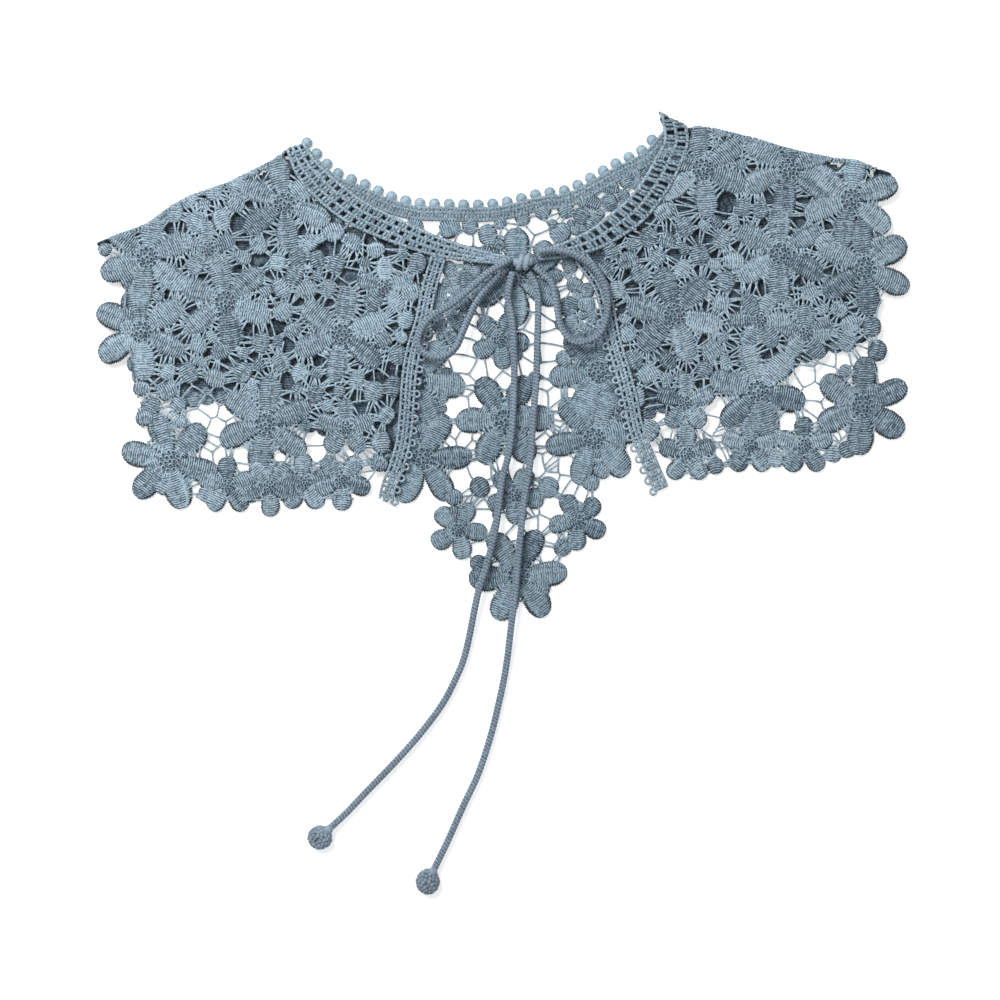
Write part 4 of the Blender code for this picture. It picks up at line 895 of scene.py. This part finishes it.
def lay_shade_rows(thread, covers, outline, chance):
    """Close rows of dark thread under the covers, inside the outline: painted shade, showing through their
    gaps.
    """
    every = np.array([p for cover in covers for p in cover])
    closed = list(outline) + [outline[0]]
    xs = np.arange(every[:, 0].min(), every[:, 0].max(), 1.0)
    for y in np.arange(every[:, 1].min(), every[:, 1].max(), SHADE_ROW_PITCH):
        line = np.column_stack([xs, np.full(len(xs), y)])
        shown = covered(line, covers) & inside(line, outline)
        shown &= nearest_on_path(line, closed)[1] > SHADE_ROW_INSET
        for first, end in runs_of(shown):
            if end - first < 3:
                continue
            picked = np.unique(np.append(np.arange(first, end, SHADE_ROW_STEP), end - 1))
            sway = np.array([chance.uniform(-SHADE_ROW_SWAY, SHADE_ROW_SWAY) for _ in picked])
            path = np.column_stack([xs[picked], y + sway, np.full(len(picked), SHADE_ROW_HEIGHT)])
            # Painted shade: the rows are nearly as dark as a hollow
            thread.tube(path, SHADE_ROW_RADIUS, flat=0.6, shade_and_tone=0.1)


def lay_bud(thread, x, y, radius, chance, sides):
    """A flower's middle: a cluster of round stitches."""
    bead = BEAD * (0.95 if radius > SMALL_BUD else 0.8)
    # A flat base painted dark as shade between the beads
    thread.ball(x, y, 0.9, radius * 0.9, flat=0.26, sides=14, shade_and_tone=0.15)
    for share, count, height in BUD_RINGS:
        ring = radius * share
        if radius < SMALL_BUD and share == BUD_RINGS[-1][0]:
            count = SMALL_OUTER_COUNT
        for i in range(count):
            angle = math.tau * (i + chance.uniform(-0.15, 0.15)) / count + ring
            # Beads under a cover get painted shade
            thread.ball(
                x + ring * math.cos(angle),
                y + ring * math.sin(angle),
                height + chance.uniform(-0.1, 0.1),
                bead * chance.uniform(0.9, 1.08),
                sides=sides,
                levels=sides // 2,
                shade_and_tone=0.8 if sides > 6 else 0.8 - HIDDEN_SHADE,
                dimple=DIMPLE,
            )


def lay_chain(thread, path, radius=CHAIN_RADIUS, height=0.95):
    """A crocheted chain: a thread that swells and narrows with each stitch."""
    line = evenly(smooth(path, 1.0), STITCH_PITCH / STITCH_STEPS)
    swell = 1 + CHAIN_SWELL * np.cos(math.tau * np.arange(len(line)) / STITCH_STEPS)
    route = np.column_stack([line, np.full(len(line), height)])
    thread.tube(route, radius * swell, sides=8, flat=0.85, shade_and_tone=0.4)


def lay_hem(thread, hem, ovals):
    """A fine chain along the hem, only where petals or leaves are near enough to hold it."""
    line = evenly(smooth(hem, 1.0), 1.0)
    for first, end in runs_of(oval_gap(line, ovals) < HEM_REACH):
        if end - first > 3:
            lay_chain(thread, line[first:end], *FINE_CHAIN)


def lay_posts(thread, low_path, high_path, holes_every, chance, radius):
    """A row of upright stitches between two chains, with one left out at each hole."""
    lows = evenly(smooth(low_path, 1.0), POST_PITCH)
    highs = spread(smooth(high_path, 1.0), len(lows))
    t = np.linspace(0.0, 1.0, 6)
    swell = 1 + 0.16 * np.cos(math.tau * 2 * t)
    for i, (low, high) in enumerate(zip(lows, highs)):
        if holes_every and i % holes_every == holes_every - 1:
            continue
        lean = chance.uniform(-0.12, 0.12)
        across = high - low
        line = low + np.outer(t, across) + np.outer(np.sin(math.pi * t) * lean, (-across[1], across[0]))
        height = 0.85 + 0.1 * np.sin(math.pi * t) + chance.uniform(-0.05, 0.05)
        thread.tube(np.column_stack([line, height]), radius * swell, shade_and_tone=0.32)


def lay_loop(thread, x, y, height, ring, radius, steps, sides=6, shade_and_tone=0.45):
    """A ring of thread in steps straight stretches."""
    angle = np.linspace(0.0, math.tau, steps + 1)
    path = np.column_stack([x + ring * np.cos(angle), y + ring * np.sin(angle), np.full(steps + 1, height)])
    path[-1] = path[0]
    thread.tube(path, radius, sides=sides, shade_and_tone=shade_and_tone)


def lay_picot(thread, x, y, radius):
    """A round picot: a domed disc of wound thread with a dimple."""
    # Painted light on the higher rings and the top ball, painted shade on the flat base beneath
    for k in range(3):
        ring = radius * (0.92 - 0.3 * k)
        lay_loop(thread, x, y, THREAD_HEIGHT + 0.28 * k, ring, radius * 0.24, 14, shade_and_tone=0.45 + 0.12 * k)
    thread.ball(x, y, 1.0, radius * 0.5, flat=0.9, shade_and_tone=0.7)
    thread.ball(x, y, 0.75, radius * 0.9, flat=0.3, sides=10, shade_and_tone=0.3)


def lay_bloom(thread, flower, kept, covers, chance):
    """One flower's petals and middle, plainer and with painted shade under a cover, and only where forms
    may lie.
    """
    kind, x, y, turn = flower
    count, reach, half_length, half_width, bud = FLOWER_KINDS[kind]
    seen = not covered([(x, y)], covers)[0]
    end = reach + half_length
    for i in range(count):
        angle = math.radians(turn) + math.tau * i / count
        tip = (x + end * math.cos(angle), y + end * math.sin(angle))
        if kept is None or inside([tip], kept)[0]:
            shown = seen or not covered([tip], covers)[0]
            thread.petal(x, y, angle, bud * PETAL_START, end, half_width, chance, ribbed_top=shown)
    if kept is None or inside([(x, y)], kept)[0]:
        lay_bud(thread, x, y, bud, chance, 8 if seen else 6)


def panel_thread(flowers, leaves, fixed, fences, base, name, fans, spokes, passes, leafy, hem,
                 kept=None, covers=()):
    """A panel's net, and the flowers and leaves that it joins. More leaves fill it inside leafy and
    along its hem. kept is where forms may lie, if not everywhere, and covers hide what is under them."""
    chance = random.Random(name)
    net = Thread()
    blooms = Thread()
    ovals = petals_of(flowers, leaves)
    blocks = ovals + [(x, y, 0.0, FLOWER_KINDS[k][4], FLOWER_KINDS[k][4]) for k, x, y, _ in flowers]
    added = hem_leaves(blocks, hem, base, chance)
    added += more_leaves(blocks + added, fixed, leafy, fences[1:], passes, covers, chance)
    blocks += added
    seeds = gap_seeds(fixed, blocks, fences, base, chance)
    for a, b in net_bars(seeds):
        lay_bar(net, a, b, base, blocks, covers, chance)
    for i, seed in enumerate(seeds):
        if i >= len(fixed) and chance.random() < fans:
            lay_fan(net, seed, seeds, base, blocks, covers, chance)
    lay_spokes(net, blocks, base, fixed, spokes, covers, chance)
    lay_hem(net, hem, blocks)
    for flower in flowers:
        lay_bloom(blooms, flower, kept, covers, chance)
    for x, y, turn, half_length, half_width in ovals[len(ovals) - len(leaves) :] + added:
        if kept is None or inside([(x, y)], kept)[0]:
            blooms.petal(x, y, turn, -half_length, half_length, half_width, chance, leaf=True)
    return net, blooms


def halves_of(band):
    return [half for _, _, half in band]


def centre_of(band):
    return [(x, y) for x, y, _ in band]


def add_node(tree, kind, inputs, **settings):
    """A new node, with its inputs set to values or linked to other nodes' outputs."""
    node = tree.nodes.new("ShaderNode" + kind)
    for name, value in settings.items():
        setattr(node, name, value)
    fill_inputs(tree, node, inputs)
    return node


def fill_inputs(tree, node, inputs):
    """Set each input to its value, or link it where the value is a socket."""
    for key, value in inputs.items():
        if isinstance(value, bpy.types.NodeSocket):
            tree.links.new(value, node.inputs[key])
        else:
            node.inputs[key].default_value = value


def noise(tree, place, scale, detail):
    return add_node(tree, "TexNoise", {"Vector": place, "Scale": scale, "Detail": detail}).outputs["Fac"]


def remap(tree, value, low, high, to_low=0.0, to_high=1.0):
    """A value stretched from the range low to high to another range."""
    ends = {"Value": value, "From Min": low, "From Max": high, "To Min": to_low, "To Max": to_high}
    return add_node(tree, "MapRange", ends).outputs["Result"]


def mixed_colour(tree, share, low, high):
    """A colour that goes from low to high with share."""
    return add_node(tree, "Mix", {0: share, 6: low, 7: high}, data_type="RGBA").outputs[2]


def yarn(name, deep, middle, light, thread_scale, bump):
    """Matt cotton: painted shade in the hollows between stitches and painted light on their tops, from the
    stored shares, flecked and with random tone, with a fine twist in its bump.
    """
    made = bpy.data.materials.new(name)
    made.use_nodes = True
    tree = made.node_tree
    place = add_node(tree, "TexCoord", {}).outputs["Object"]
    shade_and_tone = add_node(tree, "Attribute", {}, attribute_name="shade_and_tone").outputs["Fac"]
    strands = noise(tree, place, 1000.0, 1.0)
    lowered = add_node(tree, "Math", {0: shade_and_tone, 1: 0.42}, operation="SUBTRACT").outputs["Value"]
    broken = add_node(tree, "Math", {0: strands, 1: 0.85, 2: lowered}, operation="MULTIPLY_ADD")
    broken = broken.outputs["Value"]
    # Painted shade and light: hollows towards the deep colour, tops towards the light one; the shift below
    # is random tone
    hollow = mixed_colour(tree, remap(tree, broken, 0.08, 0.52), (*deep, 1.0), (*middle, 1.0))
    raised = mixed_colour(tree, remap(tree, broken, 0.45, 0.85), hollow, (*light, 1.0))
    shift = remap(tree, noise(tree, place, 28.0, 3.0), 0.3, 0.7, 0.86, 1.14)
    shaded_and_toned = add_node(tree, "HueSaturation", {"Value": shift, "Color": raised}).outputs["Color"]
    twist = noise(tree, place, thread_scale, 2.0)
    raise_it = add_node(tree, "Bump", {"Strength": bump, "Distance": 0.0003, "Height": twist})
    fill_inputs(tree, tree.nodes["Principled BSDF"], {
        "Base Color": shaded_and_toned,
        "Roughness": 0.85,
        "Sheen Weight": 0.06,
        "Sheen Roughness": 0.5,
        "Normal": raise_it.outputs["Normal"],
    })
    return made


def front_neckband(name, band, lie, made_of, rows):
    """A band of close upright stitches between chains, with a small hole after every third."""
    path, halves = centre_of(band), halves_of(band)
    thread = Thread()
    chance = random.Random(name)
    shares = np.linspace(-1.0, 1.0, rows + 1)
    lines = [offset_path(path, [share * (h - 0.7) for h in halves]) for share in shares]
    for line in lines:
        lay_chain(thread, line)
    for low, high in zip(lines, lines[1:]):
        lay_posts(thread, low, high, BAND_HOLES, chance, BAND_POST)
    return add_mesh(name, thread, lie, made_of)


def back_neckband(made_of):
    """The back's band: two rows of stitches, with round picots on the neck edge."""
    thread = Thread()
    chance = random.Random("back neckband")
    depths = (BACK_BAND_TOP + 0.8, BACK_BAND_MIDDLE, BACK_BAND_BOTTOM - 0.8)
    lines = [offset_path(NECK_ARC, -away) for away in depths]
    for line in lines:
        lay_chain(thread, line)
    for low, high, holes in zip(lines, lines[1:], (BAND_HOLES, NO_HOLES)):
        lay_posts(thread, low, high, holes, chance, BAND_POST)
    for x, y in evenly(smooth(NECK_ARC, 1.0), PICOT_PITCH)[:-1].tolist():
        lay_picot(thread, x, y, PICOT)
        foot = nearest_on_path([(x, y)], lines[0])[0][0]
        thread.tube([(x, y, THREAD_HEIGHT), (*foot, THREAD_HEIGHT)], 0.75)
    return add_mesh("back_neckband_lace", thread, FlatLie(), made_of)


def front_edging(name, path, free_side, lie, made_of):
    """The ladder down a front's opening: three rows of stitches, and ring picots on its free side."""
    thread = Thread()
    chance = random.Random(name)
    lines = [offset_path(path, share * (EDGING_HALF - 0.6)) for share in (-1.0, -0.3, 0.3, 1.0)]
    for line in lines:
        lay_chain(thread, line, 0.78)
    for low, high, holes in zip(lines, lines[1:], (EDGING_HOLES, NO_HOLES, EDGING_HOLES)):
        lay_posts(thread, low, high, holes, chance, POST_RADIUS)
    picot_line = offset_path(path, free_side * (EDGING_HALF + 0.7))[PICOTS_FROM:]
    ring = SMALL_PICOT * 0.72
    for x, y in evenly(picot_line, SMALL_PICOT_PITCH).tolist():
        lay_loop(thread, x, y, THREAD_HEIGHT, ring, ring * 0.42, 12, sides=7)
    return add_mesh(name, thread, lie, made_of)


def knitted(name, route, made_of):
    """A knitted cord with columns of V stitches round it, and the line along its middle."""
    thread = Thread()
    line = evenly(smooth(route, 2.0), STITCH_PITCH / STITCH_STEPS)
    sides, columns = 18, 3
    turn = math.tau * np.arange(sides) / sides
    vee = np.abs(2 * ((turn * columns / math.tau) % 1.0) - 1)[None, :]
    along = np.arange(len(line)) / STITCH_STEPS
    wave = np.cos(math.tau * (along[:, None] + 0.55 * vee))
    round_it = 0.9 + 0.055 * wave + 0.05 * (1 - vee)
    rings = rings_round(line, CORD / 2 * round_it[..., None], turn)
    # Painted shade in the grooves between stitches and painted light on their ridges
    thread.rings(rings, 0.45 + 0.35 * wave + 0.2 * (1 - vee))
    return add_mesh(name, thread, FlatLie(), made_of), line


def end_bobble(name, node, cord_end, made_of):
    """A crocheted bobble: round stitches all over a flattened ball, and a lump where the cord goes in."""
    low, high = [np.array(c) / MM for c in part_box(node)]
    centre, half = (low + high) / 2, (high - low) / 2
    thread = Thread()
    chance = random.Random(name)
    core = half - BOBBLE_BEAD * 0.8
    # A core painted dark as shade between the beads; the beads' own spread is random tone
    thread.ball(*centre, core[0], flat=core[2] / core[0], sides=24, levels=12, shade_and_tone=0.1)
    for i in range(BOBBLE_BEADS):
        rise = 1 - 2 * (i + 0.5) / BOBBLE_BEADS
        turn = i * math.pi * (3 - math.sqrt(5))
        ring = math.sqrt(1 - rise * rise)
        way = np.array([ring * math.cos(turn), ring * math.sin(turn), rise])
        bead = BOBBLE_BEAD * chance.uniform(0.85, 1.1)
        thread.ball(*(centre + way * core), bead, flat=0.75, shade_and_tone=0.45 + chance.uniform(-0.15, 0.15))
    toward = np.array(cord_end[:2]) - centre[:2]
    toward /= np.linalg.norm(toward)
    x, y = centre[:2] + toward * (half[0] - 0.6)
    thread.ball(x, y, centre[2] + 0.3, BOBBLE_LUMP, sides=14, levels=7, shade_and_tone=0.5)
    return add_mesh(name, thread, FlatLie(), made_of)


def bow_knot(made_of):
    """The knot: the cord's turn over the middle, and the lumps of the turns beneath it."""
    thread = Thread()
    x, y, z = KNOT_CENTRE
    angle = np.linspace(-0.2, math.pi + 0.2, 22)
    swell = 1 + 0.1 * np.cos(math.tau * np.arange(22) / 3)
    for lean, shift, size in KNOT_TURNS:
        over = x + shift + lean * 6 * np.cos(angle)
        path = np.column_stack([over, y + 2.7 * np.cos(angle), z - 1.0 + 2.0 * np.sin(angle)])
        thread.tube(path, size * swell * 0.9, sides=12, shade_and_tone=0.55)
    for dx, dy, dz, radius, flat, sides, shade_and_tone in KNOT_LUMPS:
        thread.ball(x + dx, y + dy, z + dz, radius, flat, sides, 7, shade_and_tone)
    return add_mesh("bow_knot", thread, FlatLie(), made_of)


def replace_node(piece, node):
    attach(piece, "root")
    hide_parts(node)


def lay_cord(stretch, side, route, far_end, made_of, **more):
    """One stretch of the tie on one side, as a knitted cord in place of its part."""
    piece, line = knitted("%s_%s_knit" % (stretch, side), route, made_of)
    replace_node(piece, "%s_%s" % (stretch, side))


def stage():
    """A plain pale floor, soft studio light and the camera."""
    scene = bpy.context.scene
    mesh = bpy.data.meshes.new("floor")
    corners = [(x * FLOOR_HALF, y * FLOOR_HALF, 0) for x, y in ((-1, -1), (1, -1), (1, 1), (-1, 1))]
    mesh.from_pydata(corners, [], [(0, 1, 2, 3)])
    floor = bpy.data.objects.new("floor", mesh)
    floor.location.z = -FLOOR_DROP
    scene.collection.objects.link(floor)
    white = bpy.data.materials.new("floor_white")
    white.use_nodes = True
    fill_inputs(white.node_tree, white.node_tree.nodes["Principled BSDF"], {
        "Base Color": (0.95, 0.95, 0.95, 1),
        "Roughness": 0.9,
        "Emission Color": (1.0, 1.0, 1.0, 1),
        "Emission Strength": FLOOR_GLOW,
    })
    mesh.materials.append(white)
    world = bpy.data.worlds.new("studio")
    world.use_nodes = True
    background = world.node_tree.nodes["Background"]
    fill_inputs(world.node_tree, background, {"Color": (1.0, 1.0, 1.0, 1.0), "Strength": WORLD_LIGHT})
    scene.world = world
    for name, place, width, power in LAMPS:
        light = bpy.data.lights.new(name, "AREA")
        light.size = width
        light.energy = power
        lamp = bpy.data.objects.new(name, light)
        lamp.location = place
        aim = Vector((*VIEW_CENTRE, 0)) - Vector(place)
        lamp.rotation_euler = aim.to_track_quat("-Z", "Y").to_euler()
        scene.collection.objects.link(lamp)
    camera_data = bpy.data.cameras.new("camera")
    camera_data.lens = LENS
    camera_data.sensor_width = SENSOR
    camera = bpy.data.objects.new("camera", camera_data)
    camera.location = (*VIEW_CENTRE, VIEW_WIDTH * LENS / SENSOR)
    scene.collection.objects.link(camera)
    scene.camera = camera
    scene.view_settings.view_transform = "Standard"


class Front:
    """The outlines of one front panel, its neckband and its edging, and how they lie."""

    def __init__(self, side, fold, hem, edging, neck, sign, back_area):
        self.side, self.hem, self.edging, self.neck, self.sign = side, list(hem), edging, neck, sign
        self.inner = offset_path(edging, -sign * (EDGING_HALF + SEAM))
        centre, halves = centre_of(neck), halves_of(neck)
        seam = offset_path(centre, [-sign * (h + SEAM) for h in halves])
        self.neck_seam = [p for p in seam[1:] if sign * (self.inner[0][0] - p[0]) > 0]
        self.fold_path = [seam[0]] + list(fold[2:])
        rest = self.hem + self.inner[::-1] + self.neck_seam[::-1]
        self.base = self.fold_path + rest
        self.past_fold = offset_path(self.fold_path, -sign * PAST_FOLD) + rest
        neck_area = offset_path(centre, halves) + offset_path(centre, [-h for h in halves])[::-1]
        edge_area = offset_path(edging, EDGING_HALF) + offset_path(edging, -EDGING_HALF)[::-1]
        self.cut = [self.base, neck_area, edge_area]
        step = np.subtract(fold[-2], fold[-3])
        far = np.add(fold[-2], step / np.linalg.norm(step) * PAST_END)
        straight_on = list(fold[:-1]) + [tuple(far)]
        self.lie = FoldedLie(straight_on, back_area, sign)
        seams = [(self.neck_seam, -sign), (self.inner, -sign)]
        self.tucked_lie = FoldedLie(straight_on, back_area, sign, seams)


def lay_front(front, flowers, leaves, gaps, made_of):
    """One front with its flowers, net, neckband and edging."""
    fences = [(front.fold_path, FOLD_MARGIN)]
    fences += [(path, EDGE_MARGIN) for path in (front.hem, front.inner, front.neck_seam)]
    net, blooms = panel_thread(
        flowers, leaves, gaps, fences, front.base, "front_" + front.side, 0.6, 0.85, FRONT_PASSES,
        front.past_fold, front.hem,
    )
    edge_line = offset_path(front.fold_path[:-1], -front.sign * 1.5)
    inner_line = offset_path(front.fold_path[:-1], front.sign * FOLD_INSET)
    lay_chain(net, edge_line, *FOLD_CHAIN)
    lay_posts(net, edge_line, inner_line, NO_HOLES, random.Random(front.side), POST_RADIUS)
    panel = add_mesh("front_%s_flowers" % front.side, blooms, front.tucked_lie, made_of)
    panel_net = add_mesh("front_%s_net" % front.side, net, front.tucked_lie, made_of)
    rows = 3 if front.side == "left" else 2
    neckband = front_neckband("neckband_%s_lace" % front.side, front.neck, front.lie, made_of, rows)
    edge = front_edging("edging_%s_lace" % front.side, front.edging, front.sign, front.lie, made_of)
    pieces = ((panel, "front_"), (panel_net, "front_"), (neckband, "neckband_"), (edge, "edging_"))
    for piece, node in pieces:
        replace_node(piece, node + front.side)


def lay_back(left_inside, right_inside, covers, made_of):
    """The back with its flowers, net, neckband and picots, plainer and with painted shade under the fronts,
    over rows of dark thread as painted shade.
    """
    neck_seam = offset_path(NECK_ARC, -(BACK_BAND_BOTTOM + SEAM))[1:-1]
    base = neck_seam + right_inside + list(BACK_HEM) + left_inside[::-1]
    kept = neck_seam + right_inside + BELOW_BACK + left_inside[::-1]
    fences = [(p, EDGE_MARGIN) for p in (neck_seam, right_inside, BACK_HEM, left_inside)]
    net, blooms = panel_thread(
        BACK_FLOWERS + HIDDEN_BACK_FLOWERS, BACK_LEAVES, BACK_GAPS, fences, base, "back", 0.35, 0.6,
        BACK_PASSES, base, BACK_HEM, kept, covers,
    )
    lay_shade_rows(net, covers, base, random.Random("ground"))
    back = add_mesh("back_flowers", blooms, FlatLie(), made_of)
    back_net = add_mesh("back_net", net, FlatLie(), made_of)
    band = back_neckband(made_of)
    for piece, node in ((back, "back"), (back_net, "back"), (band, "back_neckband")):
        replace_node(piece, node)


def main():
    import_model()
    stage()
    lace = yarn(*LACE_YARN)
    # The back's yarn: the lace yarn darkened as painted shade
    shaded = yarn(*SHADED_YARN)
    knit = yarn(*CORD_YARN)

    left_inside = offset_path(LEFT_FOLD, FOLD_INSET)[1:]
    right_inside = offset_path(RIGHT_FOLD, -FOLD_INSET)[1:]
    back_area = list(NECK_ARC) + right_inside + list(BACK_HEM) + left_inside[::-1]
    left = Front("left", LEFT_FOLD, LEFT_HEM, LEFT_EDGING, LEFT_NECKBAND, 1, back_area)
    right = Front("right", RIGHT_FOLD, RIGHT_HEM, RIGHT_EDGING, RIGHT_NECKBAND, -1, back_area)
    lay_back(left_inside, right_inside, left.cut + right.cut, shaded)
    lay_front(left, LEFT_FLOWERS, LEFT_LEAVES, LEFT_GAPS, lace)
    lay_front(right, RIGHT_FLOWERS, RIGHT_LEAVES, RIGHT_GAPS, lace)

    replace_node(bow_knot(knit), "knot")
    for side, tail, loop in (("left", LEFT_TAIL, LEFT_LOOP), ("right", RIGHT_TAIL, RIGHT_LOOP)):
        bobble = end_bobble("bobble_%s_knit" % side, "bobble_" + side, tail[-1], knit)
        replace_node(bobble, "bobble_" + side)
        lay_cord("tail", side, tail, "fitting", knit, with_pieces=[bobble])
        lay_cord("loop", side, loop, "object", knit)


main()
